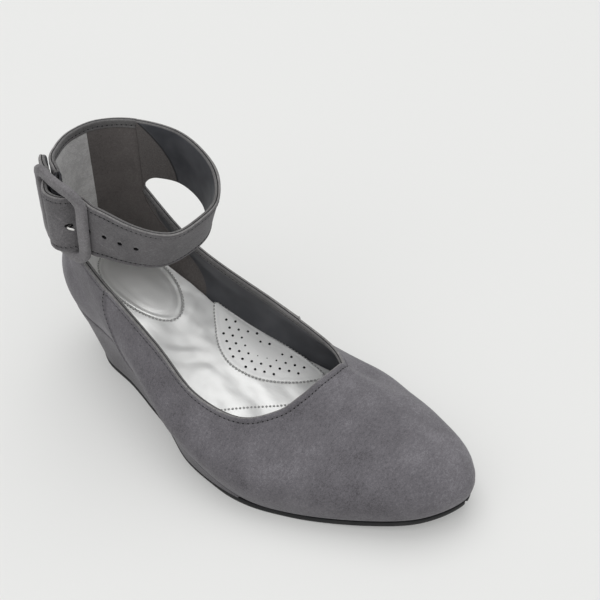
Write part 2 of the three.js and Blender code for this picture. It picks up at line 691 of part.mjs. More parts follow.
// Prong: wire round the middle bar, bent out through the strap's first hole
function prongPath() {
  const around = middleBarDiameter / 2 + jointGap + prongDiameter / 2;
  const points = [];
  for (let i = 0; i <= 8; i++) {
    const angle = radians(75 + (225 * i) / 8);
    points.push([Math.cos(angle) * around, middleBar + Math.sin(angle) * around]);
  }
  const [inner, outer] = [liftAt(firstHole) - strapThickness, liftAt(firstHole)];
  points.push(
    [firstHole - 3.4, inner - 2.4],
    [firstHole - 1.2, inner - 1.5],
    [firstHole - 0.1, inner + 0.6],
    [firstHole + 0.1, outer + 0.5],
    [firstHole + 1.3, outer + 0.9],
    [firstHole + 3.2, outer - 0.4],
  );
  const bends = points.map(([d, out]) => new THREE.Vector3(d, 0, out));
  const curve = new THREE.CatmullRomCurve3(bends, false, "centripetal");
  return curve.getPoints(36).map((p) => [p.x, 0, p.z]);
}
const prongGeometry = bar(prongPath(), roundSection(prongDiameter, 8), false);

const suede = new THREE.MeshStandardMaterial({ color: 0x77747a, roughness: 0.95, metalness: 0 });
const wedgeSuede = new THREE.MeshStandardMaterial({ color: 0x6f6c71, roughness: 0.95, metalness: 0 });
const rubber = new THREE.MeshStandardMaterial({ color: 0x1b1a1c, roughness: 0.6, metalness: 0 });
const silverSock = new THREE.MeshStandardMaterial({ color: 0xa9a9ab, roughness: 0.4, metalness: 0.3 });
const nickel = new THREE.MeshStandardMaterial({ color: 0xc9c8c6, roughness: 0.25, metalness: 1 });
const webbing = new THREE.MeshStandardMaterial({ color: 0x3a3a3f, roughness: 0.9, metalness: 0 });

const shoe = new THREE.Group();
function add(name, geometry, material) {
  const mesh = new THREE.Mesh(geometry, material);
  mesh.name = name;
  shoe.add(mesh);
}
add("outsole", outsoleGeometry, rubber);
add("wedge", wedgeGeometry, wedgeSuede);
add("upper", upperGeometry(), suede);
add("insole", insoleGeometry, silverSock);
add("ankle_strap", ankleStrapGeometry, suede);
add("buckle_strap", buckleStrapGeometry, suede);
add("elastic", elasticGeometry, webbing);
add("buckle", buckleGeometry, suede);
add("prong", prongGeometry, nickel);

// The frame's origin is under the middle of the shoe, on the floor
const extent = new THREE.Box3().setFromObject(shoe);
shoe.position.set(-(extent.min.x + extent.max.x) / 2, -(extent.min.y + extent.max.y) / 2, -extent.min.z);

export default shoe;
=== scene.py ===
# %% [markdown]
# # A wedge shoe with a buckled ankle strap
#
# The object is one right shoe: a closed grey pump of suede cloth on a covered low wedge. Its counter rises
# to a collar that carries a wide ankle strap with a square covered buckle. Inside lies a silver sock with a
# heel pad and a perforated arch pad. The CAD frame gives every place. This script dresses it: each cloth
# piece is built again with a fine mesh, and each gets a material worked out by formula.

# %% Load the frame
import math

import bmesh
import bpy
import numpy as np
from mathutils import Matrix, Vector


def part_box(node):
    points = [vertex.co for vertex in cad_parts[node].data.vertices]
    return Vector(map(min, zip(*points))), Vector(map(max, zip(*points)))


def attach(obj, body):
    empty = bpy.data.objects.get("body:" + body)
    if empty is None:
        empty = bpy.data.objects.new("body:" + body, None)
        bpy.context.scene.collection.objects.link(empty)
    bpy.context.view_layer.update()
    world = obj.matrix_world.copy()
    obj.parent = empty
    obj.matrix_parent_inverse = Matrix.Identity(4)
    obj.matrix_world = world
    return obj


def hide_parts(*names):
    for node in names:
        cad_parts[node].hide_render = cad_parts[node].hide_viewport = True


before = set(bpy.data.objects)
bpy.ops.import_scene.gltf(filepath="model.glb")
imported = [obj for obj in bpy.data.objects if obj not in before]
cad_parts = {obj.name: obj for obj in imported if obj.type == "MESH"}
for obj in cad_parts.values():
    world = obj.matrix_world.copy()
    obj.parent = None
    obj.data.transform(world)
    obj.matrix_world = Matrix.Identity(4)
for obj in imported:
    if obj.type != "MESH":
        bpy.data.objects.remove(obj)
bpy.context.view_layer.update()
print("CAD nodes:", ", ".join(sorted(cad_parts)))

# %% [markdown]
# The shoe is drawn in millimetres from the back of the heel, as a pattern cutter measures it. The driving
# sizes come first, because everything else is worked out from them.

# %% The shoe's sizes, in millimetres
shoe_length = 240.0
last_width = 80.0
heel_height = 34.0
toe_spring = 8.0
quarter_height = 62.0
wall_thickness = 2.2
feather_radius = 3.0
lasting_margin = 6.0
ankle_length = 84.0
ankle_width = 62.0
ankle_back = 8.0
ankle_rise = 89.5
ankle_sag = 17.0
strap_tilt = 24.0
strap_side_tilt = 8.0
strap_width = 33.0
strap_thickness = 3.0
corner_radius = 8.0
outsole_thickness = 3.0
joint_gap = 0.3
print(f"shoe {shoe_length:.0f} mm long on the floor, heel seat {heel_height:.0f} mm above the ball")

# %% [markdown]
# The last is a curved form with no flat side, so its shape is kept in short tables. A row of FEATHER is a
# station on the edge where the upper turns under the foot, once round the shoe. A row of TOPLINE is a
# station on the cut edge of the upper. Smooth functions run through the rows, so a mesh can be as fine as
# we like.

# %% Tables of the last, the topline and the ankle strap
def table(names, rows):
    """Rows of numbers as one array for each named column."""
    return dict(zip(names.split(), np.array(rows, float).T))

# shares of the length, and of the heel height, the toe spring and the arch's relief
BOTTOM_LINE = table("along heel toe arch", [
    (-0.1, 1.0, 0.0, 0.0), (0.0, 1.0, 0.0, 0.0), (0.12, 0.985, 0.0, 0.0), (0.24, 0.86, 0.0, 0.0),
    (0.34, 0.6, 0.0, 0.0), (0.44, 0.4, 0.0, 1.0), (0.52, 0.235, 0.0, 1.0), (0.6, 0.085, 0.0, 0.0),
    (0.68, 0.0, 0.0, 0.0), (0.76, 0.0, 0.04, 0.0), (0.86, 0.0, 0.35, 0.0), (0.94, 0.0, 0.72, 0.0),
    (1.0, 0.0, 1.0, 0.0), (1.1, 0.0, 1.6, 0.0),
])

# from the heel's back, by the outer side to the toe (row 10), and back by the inner side
FEATHER = table("along across belly rise steep reach", [
    (0.0, 0.0, 0.1, 0.35, 94, 0.35),
    (0.022, -0.36, 0.1, 0.35, 93, 0.35),
    (0.1, -0.66, 0.11, 0.35, 91, 0.35),
    (0.22, -0.78, 0.13, 0.33, 87, 0.35),
    (0.36, -0.98, 0.19, 0.32, 82, 0.35),
    (0.48, -1.26, 0.2, 0.32, 76, 0.35),
    (0.615, -1.3, 0.165, 0.33, 66, 0.35),
    (0.73, -1.1, 0.13, 0.34, 50, 0.4),
    (0.865, -0.71, 0.115, 0.36, 36, 0.42),
    (0.957, -0.32, 0.11, 0.36, 26, 0.42),
    (1.0, 0.22, 0.105, 0.36, 22, 0.42),
    (0.963, 0.6, 0.105, 0.36, 26, 0.42),
    (0.88, 0.84, 0.11, 0.36, 36, 0.42),
    (0.79, 1.02, 0.115, 0.34, 50, 0.4),
    (0.7, 1.1, 0.105, 0.33, 66, 0.35),
    (0.55, 0.87, 0.12, 0.33, 78, 0.35),
    (0.4, 0.63, 0.15, 0.33, 84, 0.35),
    (0.23, 0.6, 0.13, 0.33, 88, 0.35),
    (0.1, 0.62, 0.11, 0.35, 91, 0.35),
    (0.022, 0.36, 0.1, 0.35, 93, 0.35),
])
STATIONS = len(FEATHER["along"])
OUTER_CORNER, INNER_CORNER, TOE = 3, 17, 10

TOPLINE = table("along across up", [
    (0.2, -0.845, 0.74), (0.376, -0.965, 0.645), (0.49, -1.075, 0.565), (0.587, -0.95, 0.575),
    (0.64, -0.6, 0.625), (0.656, -0.27, 0.665), (0.66, 0.02, 0.68), (0.662, 0.22, 0.672),
    (0.662, 0.44, 0.655), (0.655, 0.56, 0.61), (0.605, 0.67, 0.615), (0.478, 0.635, 0.64),
    (0.28, 0.525, 0.655),
])

ANKLE = table("along across drop tilt", [
    (0.0, 0.0, 0.0, 0.0), (0.035, -0.42, 0.0, 0.0), (0.13, -0.77, 0.02, 0.0),
    (0.4, -1.02, 0.15, 0.15), (0.74, -0.93, 0.57, 0.8), (0.94, -0.51, 0.97, 1.05),
    (0.985, 0.08, 0.97, 1.0), (0.945, 0.6, 0.9, 0.95), (0.77, 1.02, 0.58, 0.75),
    (0.5, 1.12, 0.18, 0.4), (0.23, 0.86, 0.0, 0.0), (0.05, 0.47, 0.0, 0.0),
])
LOOP_ROWS = len(ANKLE["along"])
OUTER_SEAM, INNER_SEAM, BUCKLE_ROW = 2, 10, 2.75
print(f"{STATIONS} stations round the foot, {LOOP_ROWS} round the ankle")


# %% Smooth functions through the tables
def column(values, closed):
    """A smooth function of the row number."""
    values = np.asarray(values, float)
    count = len(values)

    def at(t):
        t = np.asarray(t, float)
        i = np.floor(t).astype(int)
        f = t - i

        def pick(k):
            return values[(i + k) % count] if closed else values[np.clip(i + k, 0, count - 1)]

        a, b, c, d = pick(-1), pick(0), pick(1), pick(2)
        return b + 0.5 * f * (c - a + f * (2 * a - 5 * b + 4 * c - d + f * (3 * (b - c) + d - a)))

    return at


def profile(at, values):
    """A smooth function through values at uneven places."""
    slopes = np.array([
        (values[min(j + 1, len(at) - 1)] - values[max(j - 1, 0)])
        / (at[min(j + 1, len(at) - 1)] - at[max(j - 1, 0)])
        for j in range(len(at))
    ])

    def value(x):
        x = np.asarray(x, float)
        i = np.clip(np.searchsorted(at, x, side="right") - 1, 0, len(at) - 2)
        h = at[i + 1] - at[i]
        f = (x - at[i]) / h
        rest = 1 - f
        return (
            values[i] * (1 + 2 * f) * rest ** 2 + values[i + 1] * f * f * (3 - 2 * f)
            + h * (slopes[i] * f * rest ** 2 - slopes[i + 1] * f * f * rest)
        )

    return value


heel_share, toe_share, arch_share = (
    profile(BOTTOM_LINE["along"], BOTTOM_LINE[name]) for name in ("heel", "toe", "arch")
)
feather = {name: column(values, True) for name, values in FEATHER.items()}
loop = {name: column(values, True) for name, values in ANKLE.items()}


def points(x, y, z):
    return np.stack(np.broadcast_arrays(x, y, z), -1)


def unit(v):
    return v / np.maximum(np.linalg.norm(v, axis=-1, keepdims=True), 1e-9)


def outsole_top(along):
    return outsole_thickness + toe_spring * toe_share(along)


def feather_height(along):
    return outsole_top(along) + joint_gap + heel_height * heel_share(along)


def foot(t):
    """A point of the feather edge. The heel's back is at y = 0 and the toe points to -Y."""
    along = feather["along"](t)
    return points(feather["across"](t) * last_width / 2, -along * shoe_length, feather_height(along))


def outward(path, t):
    step = path(np.asarray(t) + 0.05) - path(np.asarray(t) - 0.05)
    return unit(points(step[..., 1], -step[..., 0], 0.0))


def ankle(t, level):
    """The ankle strap's loop: level 0 is the strap's lower edge and 1 its upper one."""
    rim = feather_height(0.0) + ankle_rise - ankle_sag * loop["drop"](t)
    width = strap_width * (1 - np.asarray(level, float))
    back = np.sin(math.radians(strap_tilt) * loop["tilt"](t))
    side = np.sin(math.radians(strap_side_tilt) * loop["tilt"](t))
    return points(
        loop["across"](t) * ankle_width / 2 + width * side,
        -(ankle_back + loop["along"](t) * ankle_length) + width * back,
        rim - width * np.sqrt(1 - back ** 2 - side ** 2),
    )


collar_base = -corner_radius / strap_width
topline_points = np.vstack([
    ankle(OUTER_SEAM, collar_base),
    points(
        TOPLINE["across"] * last_width / 2,
        -TOPLINE["along"] * shoe_length,
        feather_height(TOPLINE["along"]) + TOPLINE["up"] * quarter_height,
    ),
    ankle(INNER_SEAM, collar_base),
])
topline = tuple(column(values, False) for values in topline_points.T)
back_rows = STATIONS - INNER_CORNER + OUTER_CORNER
back_seams = LOOP_ROWS - INNER_SEAM + OUTER_SEAM


def top(t):
    """Where the wall ends: on the topline, or at the collar's lower edge."""
    t = np.asarray(t, float)
    i = np.clip(t - OUTER_CORNER, 0, INNER_CORNER - OUTER_CORNER)
    cut = points(*(f(i) for f in topline))
    share = ((t - INNER_CORNER) % STATIONS) / back_rows
    collar = ankle(INNER_SEAM + share * back_seams, collar_base)
    inside = (t >= OUTER_CORNER) & (t <= INNER_CORNER)
    return np.where(inside[..., None], cut, collar)


def wall(t, s):
    """The upper's outer face: s runs from the feather edge, 0, to the top, 1."""
    t, s = np.broadcast_arrays(np.asarray(t, float), np.asarray(s, float))
    up = np.array([0.0, 0.0, 1.0])
    start = foot(t) + up * feather_radius
    end = top(t)
    out = outward(foot, t)
    low = start + out * (feather["belly"](t) * quarter_height)[..., None]
    low = low + up * (feather["rise"](t) * quarter_height)[..., None]
    level = unit((start - end) * [1, 1, 0] + out * feather_radius * 2)
    steep = np.radians(feather["steep"](t))[..., None]
    reach = (feather["reach"](t) * np.linalg.norm(end - start, axis=-1))[..., None]
    high = end + level * np.cos(steep) * reach - up * np.sin(steep) * reach
    s = s[..., None]
    rest = 1 - s
    return start * rest ** 3 + low * 3 * s * rest ** 2 + high * 3 * s ** 2 * rest + end * s ** 3


# %% [markdown]
# A mesh is made from arrays of points and faces. The helpers below turn a millimetre drawing into a Blender
# mesh in the frame's metres. The drawing starts at the heel's back, while the frame's origin lies under the
# middle of the shoe, so one shift carries the whole drawing over.

# %% Helpers that make meshes
MM = 0.001
coarse_rows = np.arange(0, STATIONS, 0.25)[:, None]
coarse = wall(coarse_rows, (np.arange(11) / 10) ** 1.15).reshape(-1, 3)
SHIFT = np.array([-(coarse[:, 0].min() + coarse[:, 0].max()) / 2,
                  -(coarse[:, 1].min() + coarse[:, 1].max()) / 2, 0])
cad_upper = np.array(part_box("upper")) / MM
print("drawing to frame, mm:", np.round(SHIFT, 3), " centre off by", np.round(cad_upper.sum(0)[:2] / 2, 3))


def make_piece(name, vertices, faces, materials, face_materials=None, smooth=True):
    """A mesh object from millimetre points. face_materials gives a number in materials for each face."""
    mesh = bpy.data.meshes.new(name)
    mesh.from_pydata(((np.asarray(vertices) + SHIFT) * MM).tolist(), [], [list(map(int, f)) for f in faces])
    for material in materials:
        mesh.materials.append(material)
    if face_materials is not None:
        mesh.polygons.foreach_set("material_index", np.asarray(face_materials, np.int32))
    mesh.polygons.foreach_set("use_smooth", [smooth] * len(mesh.polygons))
    mesh.validate()
    piece = bpy.data.objects.new(name, mesh)
    bpy.context.scene.collection.objects.link(piece)
    return piece


def face_outwards(piece):
    """Makes a closed mesh's faces point outwards."""
    work = bmesh.new()
    work.from_mesh(piece.data)
    bmesh.ops.remove_doubles(work, verts=work.verts, dist=0.001 * MM)
    bmesh.ops.recalc_face_normals(work, faces=work.faces)
    work.to_mesh(piece.data)
    work.free()
    return piece


def grid_faces(rows, columns, closed_rows=False, closed_columns=False, start=0):
    """Four-cornered faces between the points of a grid that is stored row by row."""
    i = np.arange(rows if closed_rows else rows - 1)[:, None]
    j = np.arange(columns if closed_columns else columns - 1)[None]
    a = i * columns + j
    b = i * columns + (j + 1) % columns
    c = (i + 1) % rows * columns + (j + 1) % columns
    d = (i + 1) % rows * columns + j
    return np.stack(np.broadcast_arrays(a, b, c, d), -1).reshape(-1, 4) + start


def loft(name, rings, material, closed=False):
    """A closed solid through rings of points. Its ends are fans to a middle point."""
    rings = np.asarray(rings)
    count, size = rings.shape[:2]
    vertices = rings.reshape(-1, 3)
    faces = list(grid_faces(count, size, closed_rows=closed, closed_columns=True))
    if not closed:
        for ring in (0, count - 1):
            middle = len(vertices)
            vertices = np.vstack([vertices, rings[ring].mean(0)])
            faces += [(ring * size + j, ring * size + (j + 1) % size, middle) for j in range(size)]
    return face_outwards(make_piece(name, vertices, faces, [material]))


def belongs(piece, slot, *nodes):
    """Every piece rides on the shoe and may stand for CAD nodes. Its slot is not used."""
    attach(piece, "root")
    if nodes:
        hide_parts(*nodes)
    print(f"{piece.name}: {sum(len(p.vertices) - 2 for p in piece.data.polygons)} triangles")


def vertex_normals(vertices, faces):
    faces = np.asarray(faces)
    diagonals = vertices[faces[:, 2]] - vertices[faces[:, 0]], vertices[faces[:, 3]] - vertices[faces[:, 1]]
    across = np.cross(*diagonals)
    normals = np.zeros_like(vertices)
    for corner in range(4):
        np.add.at(normals, faces[:, corner], across)
    return unit(normals)


def bell(x, width):
    return np.exp(-(np.asarray(x) / width) ** 2)


def smooth_step(x, low, high):
    f = np.clip((np.asarray(x, float) - low) / (high - low), 0, 1)
    return f * f * (3 - 2 * f)


def crease(vertices, start, end, width):
    """How near points are to a crease from start to end: 1 on it, fading at its sides and ends."""
    start, end = np.asarray(start, float), np.asarray(end, float)
    line = end - start
    share = np.clip(((vertices - start) @ line) / (line @ line), 0, 1)
    away = np.linalg.norm(vertices - start - share[..., None] * line, axis=-1)
    return bell(away, width) * (0.35 + 0.65 * np.sin(np.pi * share))


# %% [markdown]
# The camera stands where the photographer stood, high in front of the outer side of the toe. Its angle, its
# distance and its lens are kept as real sizes. The view is aimed at a point inside the shoe, which lies a
# little off the picture's middle, so the camera turns by that small angle.

# %% Camera
view_azimuth, view_elevation, view_roll = (math.radians(a) for a in (-46.34, 42.99, -4.44))
camera_distance = 659.09
focal_pixels, picture_width, sensor_width = 1367.36, 600.0, 36.0
aim_pixel = (237.24, 318.26)
aim_point = np.array([0.0, -110.0, 60.0])

back = np.array([
    math.sin(view_azimuth) * math.cos(view_elevation),
    -math.cos(view_azimuth) * math.cos(view_elevation),
    math.sin(view_elevation),
])
right = np.array([math.cos(view_azimuth), math.sin(view_azimuth), 0.0])
level_axes = np.array([right, np.cross(back, right), back])
c, s = math.cos(view_roll), math.sin(view_roll)
rolled = np.array([[c, s, 0], [-s, c, 0], [0, 0, 1]]) @ level_axes
half = picture_width / 2
sight = Vector(((aim_pixel[0] - half) / focal_pixels, (half - aim_pixel[1]) / focal_pixels, -1.0))
turn = np.array(Vector((0, 0, -1)).rotation_difference(sight).to_matrix())
camera_axes = (turn @ rolled).T
place = (aim_point + back * camera_distance + SHIFT) * MM

camera_data = bpy.data.cameras.new("camera")
camera_data.sensor_width = sensor_width
camera_data.lens = focal_pixels / picture_width * sensor_width
camera_data.clip_start, camera_data.clip_end = 0.01, 20
camera = bpy.data.objects.new("camera", camera_data)
bpy.context.scene.collection.objects.link(camera)
camera.matrix_world = Matrix.Translation(place.tolist()) @ Matrix(camera_axes.tolist()).to_4x4()
bpy.context.scene.camera = camera
print(f"lens {camera_data.lens:.1f} mm, camera at", np.round(place, 3))


# %% [markdown]
# The shoe stands on a pale grey sweep, lit by a wide soft light from above and behind, with two weaker ones
# from the left and the front. The floor gives a little light of its own, which keeps its shadows pale.
# Suede has no gloss, so its form shows only in the slow change of light over it.

# %% Floor and lights
def pale_floor():
    material = bpy.data.materials.new("studio_floor")
    material.use_nodes = True
    shader = material.node_tree.nodes["Principled BSDF"]
    shader.inputs["Base Color"].default_value = (0.56, 0.56, 0.549, 1)
    shader.inputs["Emission Color"].default_value = (1.0, 1.0, 0.985, 1)
    shader.inputs["Emission Strength"].default_value = 0.235
    shader.inputs["Roughness"].default_value = 0.85
    shader.inputs["Specular IOR Level"].default_value = 0.2
    mesh = bpy.data.meshes.new("studio_floor")
    half_floor = 4.0
    corners = [(-half_floor, -half_floor, 0), (half_floor, -half_floor, 0),
               (half_floor, half_floor, 0), (-half_floor, half_floor, 0)]
    mesh.from_pydata(corners, [], [(0, 1, 2, 3)])
    mesh.materials.append(material)
    floor = bpy.data.objects.new("studio_floor", mesh)
    bpy.context.scene.collection.objects.link(floor)


def soft_light(name, azimuth, elevation, away, size, watts, colour=(1, 1, 1)):
    """A square light at an angle round the shoe, aimed at it. Azimuth 0 stands in front of the toe."""
    a, e = math.radians(azimuth), math.radians(elevation)
    towards = Vector((math.sin(a) * math.cos(e), -math.cos(a) * math.cos(e), math.sin(e)))
    data = bpy.data.lights.new(name, "AREA")
    data.size, data.energy, data.color = size, watts, colour
    light = bpy.data.objects.new(name, data)
    light.location = towards * away + Vector((0, 0, 0.06))
    light.rotation_euler = towards.to_track_quat("Z", "Y").to_euler()
    bpy.context.scene.collection.objects.link(light)


pale_floor()
soft_light("sky_light", 136, 70, 3.4, 3.0, 52.0)
soft_light("left_light", -100, 42, 3.2, 2.4, 12.0)
soft_light("front_light", -30, 55, 3.4, 3.0, 20.0)
world = bpy.data.worlds.new("studio")
world.use_nodes = True
world.node_tree.nodes["Background"].inputs["Color"].default_value = (0.93, 0.94, 0.95, 1)
world.node_tree.nodes["Background"].inputs["Strength"].default_value = 0.58
bpy.context.scene.world = world
bpy.context.scene.view_settings.view_transform = "Standard"

# %% [markdown]
# A material in Blender is a graph of nodes. To write one as a formula, a small class wraps an output socket
# and gives it the usual operators: `1 - mask` or `grain * 0.3` then adds the Math node by itself. A second
# class holds one finish and has a single method that adds any other node.

# %% Shader formulas
class Value:
    """An output of a shader node that holds a number, with arithmetic."""

    def __init__(self, finish, socket):
        self.finish = finish
        self.socket = socket

    def math(self, operation, *others, clamp=False):
        values = {i: other for i, other in enumerate((self, *others))}
        node = self.finish.node("ShaderNodeMath", {"operation": operation, "use_clamp": clamp}, values)
        return Value(self.finish, node.outputs[0])

    def __add__(self, other):
        return self.math("ADD", other)

    def __sub__(self, other):
        return self.math("SUBTRACT", other)

    def __rsub__(self, other):
        return self.math("MULTIPLY_ADD", -1.0, other)

    def __mul__(self, other):
        return self.math("MULTIPLY", other)

    __radd__ = __add__
    __rmul__ = __mul__

    def step(self, low, high):
        """0 below low and 1 above high, smooth between them."""
        settings = {"interpolation_type": "SMOOTHSTEP"}
        sockets = {"Value": self, "From Min": low, "From Max": high}
        node = self.finish.node("ShaderNodeMapRange", settings, sockets)
        return Value(self.finish, node.outputs["Result"])


class Finish:
    """One material: a Principled shader, and the nodes that vary it over the surface."""

    def __init__(self, name, **constants):
        self.material = bpy.data.materials.new(name)
        self.material.use_nodes = True
        self.tree = self.material.node_tree
        self.shader = self.tree.nodes["Principled BSDF"]
        self.object_place = self.node("ShaderNodeTexCoord", {}, {}).outputs["Object"]
        for socket, value in constants.items():
            self.link(self.shader.inputs[socket.replace("_", " ")], value)

    def link(self, socket, value):
        if isinstance(value, Value):
            value = value.socket
        if isinstance(value, bpy.types.NodeSocket):
            self.tree.links.new(value, socket)
        elif isinstance(value, (tuple, list)) and len(value) == 3 and socket.type == "RGBA":
            socket.default_value = (*value, 1.0)
        else:
            socket.default_value = value

    def node(self, kind, settings, sockets):
        """Adds a node: its settings first, then the values or links of its sockets."""
        node = self.tree.nodes.new(kind)
        for name, value in settings.items():
            setattr(node, name, value)
        for name, value in sockets.items():
            self.link(node.inputs[name], value)
        return node

    def noise(self, size_mm, detail=2.0, roughness=0.5, stretch=None):
        """Cloudy noise, about 0.5 on average, whose patches are size_mm wide."""
        place = self.object_place
        if stretch:
            place = self.node("ShaderNodeMapping", {}, {"Vector": place, "Scale": stretch}).outputs[0]
        sockets = {"Vector": place, "Scale": 1 / (size_mm * MM), "Detail": detail, "Roughness": roughness}
        return Value(self, self.node("ShaderNodeTexNoise", {}, sockets).outputs["Fac"])

    def attribute(self, name):
        return Value(self, self.node("ShaderNodeAttribute", {"attribute_name": name}, {}).outputs["Fac"])

    def mix(self, share, first, second):
        """A colour between two colours."""
        node = self.node("ShaderNodeMix", {"data_type": "RGBA"}, {0: share, 6: first, 7: second})
        return node.outputs[2]

    def bump(self, height, depth_mm, strength=1.0, over=None):
        sockets = {"Height": height, "Distance": depth_mm * MM, "Strength": strength}
        if over:
            sockets["Normal"] = over
        return self.node("ShaderNodeBump", {}, sockets).outputs["Normal"]

    def show(self, **sockets):
        for name, value in sockets.items():
            self.link(self.shader.inputs[name.replace("_", " ")], value)
        return self.material

# %% [markdown]
# Suede cloth is woven microfibre with a brushed face. Seen close it is a fine felt of light and dark fibre
# tips. Seen from further off it has soft clouds, where a hand has laid the nap one way or the other. So its
# colour is built from four noises of different sizes, its bump from the two finest, and a sheen on the
# shader gives the pale edge that a nap has where it turns away from the eye.

# %% Suede
def suede(name, colour, dark, light, sheen=0.2, mottling=1.0):
    """Brushed cloth. dark and light are the colours that the nap varies between, round the main colour."""
    finish = Finish(name, Roughness=0.92, Specular_IOR_Level=0.15, Sheen_Weight=sheen, Sheen_Roughness=0.45)
    fibre = finish.noise(0.5, detail=3.0, roughness=0.7)
    tuft = finish.noise(1.5, detail=3.0, roughness=0.65, stretch=(0.7, 1.2, 1.2))
    cloud = finish.noise(10.0, detail=2.0, roughness=0.5)
    wash = finish.noise(40.0, detail=1.0)
    nap = fibre * 0.8 + tuft * 0.45 + cloud * (0.3 * mottling) + wash * (0.4 * mottling)
    middle = 0.625 + 0.35 * mottling
    shade = nap.step(middle - 0.36, middle + 0.36)
    lower = finish.mix(shade.step(0.0, 0.5), dark, colour)
    tone = finish.mix(shade.step(0.5, 1.0), lower, light)
    coarse_grain = finish.bump(tuft, 0.45, 0.5)
    grain = finish.bump(fibre, 0.22, 0.55, over=coarse_grain)
    return finish.show(Base_Color=tone, Normal=grain)


suede_grey = suede("suede_grey", (0.140, 0.133, 0.144), (0.078, 0.073, 0.080), (0.225, 0.215, 0.231))
suede_strap = suede("suede_strap", (0.122, 0.117, 0.121), (0.068, 0.065, 0.068), (0.200, 0.192, 0.199))
suede_edge = suede("suede_edge", (0.205, 0.198, 0.196), (0.09, 0.087, 0.086), (0.36, 0.35, 0.345),
                   mottling=0.6)
suede_facing = suede("suede_facing", (0.14, 0.136, 0.135), (0.085, 0.082, 0.081), (0.21, 0.205, 0.2))
suede_counter = suede("suede_counter", (0.135, 0.122, 0.117), (0.095, 0.086, 0.082), (0.18, 0.165, 0.158),
                      sheen=0.15)
# The patch on the outer side's inner wall is a light grey suede, but its colour is raised far past that as
# painted light, for the light that falls on that wall.
suede_patch_painted_lit = suede("suede_patch_painted_lit", (0.60, 0.59, 0.58), (0.44, 0.43, 0.425), (0.72, 0.71, 0.70), mottling=1.6)
# The buckle's cover is the same suede painted lighter: painted light for the top bar that faces up to the
# light.
suede_buckle_painted_lit = suede("suede_buckle_painted_lit", (0.180, 0.173, 0.178), (0.110, 0.105, 0.108), (0.28, 0.27, 0.277))
wedge_suede = suede("wedge_suede", (0.130, 0.124, 0.132), (0.078, 0.074, 0.079), (0.200, 0.192, 0.203))
print("suede finishes:", sum(m.name.startswith(("suede", "wedge")) for m in bpy.data.materials))

# %% [markdown]
# The vamp and the inner quarter are lined with a smooth coated cloth, dark blue grey. The sock is a coated
# cloth too, but silver: it is part metal in the shader, rather rough, and its soft crinkles come from bump
# on top of the wrinkles that are modelled later. The outsole is black rubber with a fine matt grain.

# %% Linings, sock, rubber, metal and threads
def coated_lining():
    finish = Finish("coated_lining", Roughness=0.62, Specular_IOR_Level=0.4)
    cloud = finish.noise(18.0, detail=2.0)
    weave = finish.noise(0.5, detail=2.0, roughness=0.6)
    tone = finish.mix(cloud.step(0.3, 0.7), (0.062, 0.064, 0.071), (0.098, 0.100, 0.109))
    return finish.show(Base_Color=tone, Normal=finish.bump(weave, 0.08, 0.5))


def strap_lining():
    """The strap's lining and, past a curved seam, the counter's cloth. counter_side is in millimetres."""
    finish = Finish("strap_lining", Specular_IOR_Level=0.3)
    side = finish.attribute("counter_side")
    cloud = finish.noise(14.0, detail=2.0)
    fibre = finish.noise(0.6, detail=3.0, roughness=0.7)
    coated = finish.mix(cloud.step(0.3, 0.7), (0.058, 0.060, 0.067), (0.098, 0.100, 0.109))
    brushed = finish.mix(fibre.step(0.25, 0.75), (0.100, 0.092, 0.088), (0.170, 0.156, 0.150))
    past = side.step(-0.3, 0.3)
    thread_line = side.step(-1.0, -0.3) * (1 - side.step(0.3, 1.0))
    tone = finish.mix(thread_line * 0.75, finish.mix(past, coated, brushed), (0.020, 0.020, 0.022))
    relief = finish.bump(fibre * past + 4 * side.step(-1.2, 0.2), 0.2, 0.5)
    return finish.show(Base_Color=tone, Roughness=0.62 + 0.3 * past, Normal=relief)


def silver_cloth(name, crinkle, tint, metal):
    finish = Finish(name, Metallic=metal, Specular_IOR_Level=0.5)
    soft = finish.noise(12.0, detail=1.0, roughness=0.4, stretch=(1.0, 0.6, 1.0))
    fine = finish.noise(0.8, detail=1.0, roughness=0.5)
    cloud = finish.noise(30.0, detail=1.0)
    dark_tint = tuple(0.94 * part for part in tint)
    tone = finish.mix(cloud.step(0.3, 0.7), dark_tint, tint)
    rough = cloud.step(0.25, 0.75) * 0.08 + fine * 0.03 + 0.30
    folds = finish.bump(soft, 2.4 * crinkle, 0.7)
    grain = finish.bump(fine, 0.04, 0.4, over=folds)
    return finish.show(Base_Color=tone, Roughness=rough, Normal=grain)


def black_rubber():
    finish = Finish("black_rubber", Specular_IOR_Level=0.4)
    grain = finish.noise(0.7, detail=3.0, roughness=0.65)
    dust = finish.noise(12.0, detail=2.0)
    tone = finish.mix(dust.step(0.35, 0.75), (0.007, 0.007, 0.008), (0.014, 0.0135, 0.014))
    return finish.show(Base_Color=tone, Roughness=0.5 + 0.2 * grain, Normal=finish.bump(grain, 0.08, 0.6))


def nickel_wire():
    finish = Finish("nickel_wire", Metallic=1.0)
    smear = finish.noise(1.2, detail=2.0)
    tone = finish.mix(smear.step(0.4, 0.7), (0.78, 0.77, 0.75), (0.70, 0.69, 0.67))
    return finish.show(Base_Color=tone, Roughness=0.16 + 0.12 * smear)


def thread(name, tone, dark):
    finish = Finish(name, Roughness=0.8, Specular_IOR_Level=0.25)
    twist = finish.noise(0.35, detail=1.0)
    shade = finish.mix(twist.step(0.35, 0.65), dark, tone)
    return finish.show(Base_Color=shade, Normal=finish.bump(twist, 0.1, 0.5))


def elastic_cloth():
    finish = Finish("elastic_cloth", Roughness=0.85, Specular_IOR_Level=0.2)
    yarn = finish.noise(0.6, detail=2.0, roughness=0.6)
    tone = finish.mix(yarn.step(0.35, 0.65), (0.022, 0.022, 0.025), (0.05, 0.05, 0.055))
    return finish.show(Base_Color=tone, Normal=finish.bump(yarn, 0.15, 0.6))


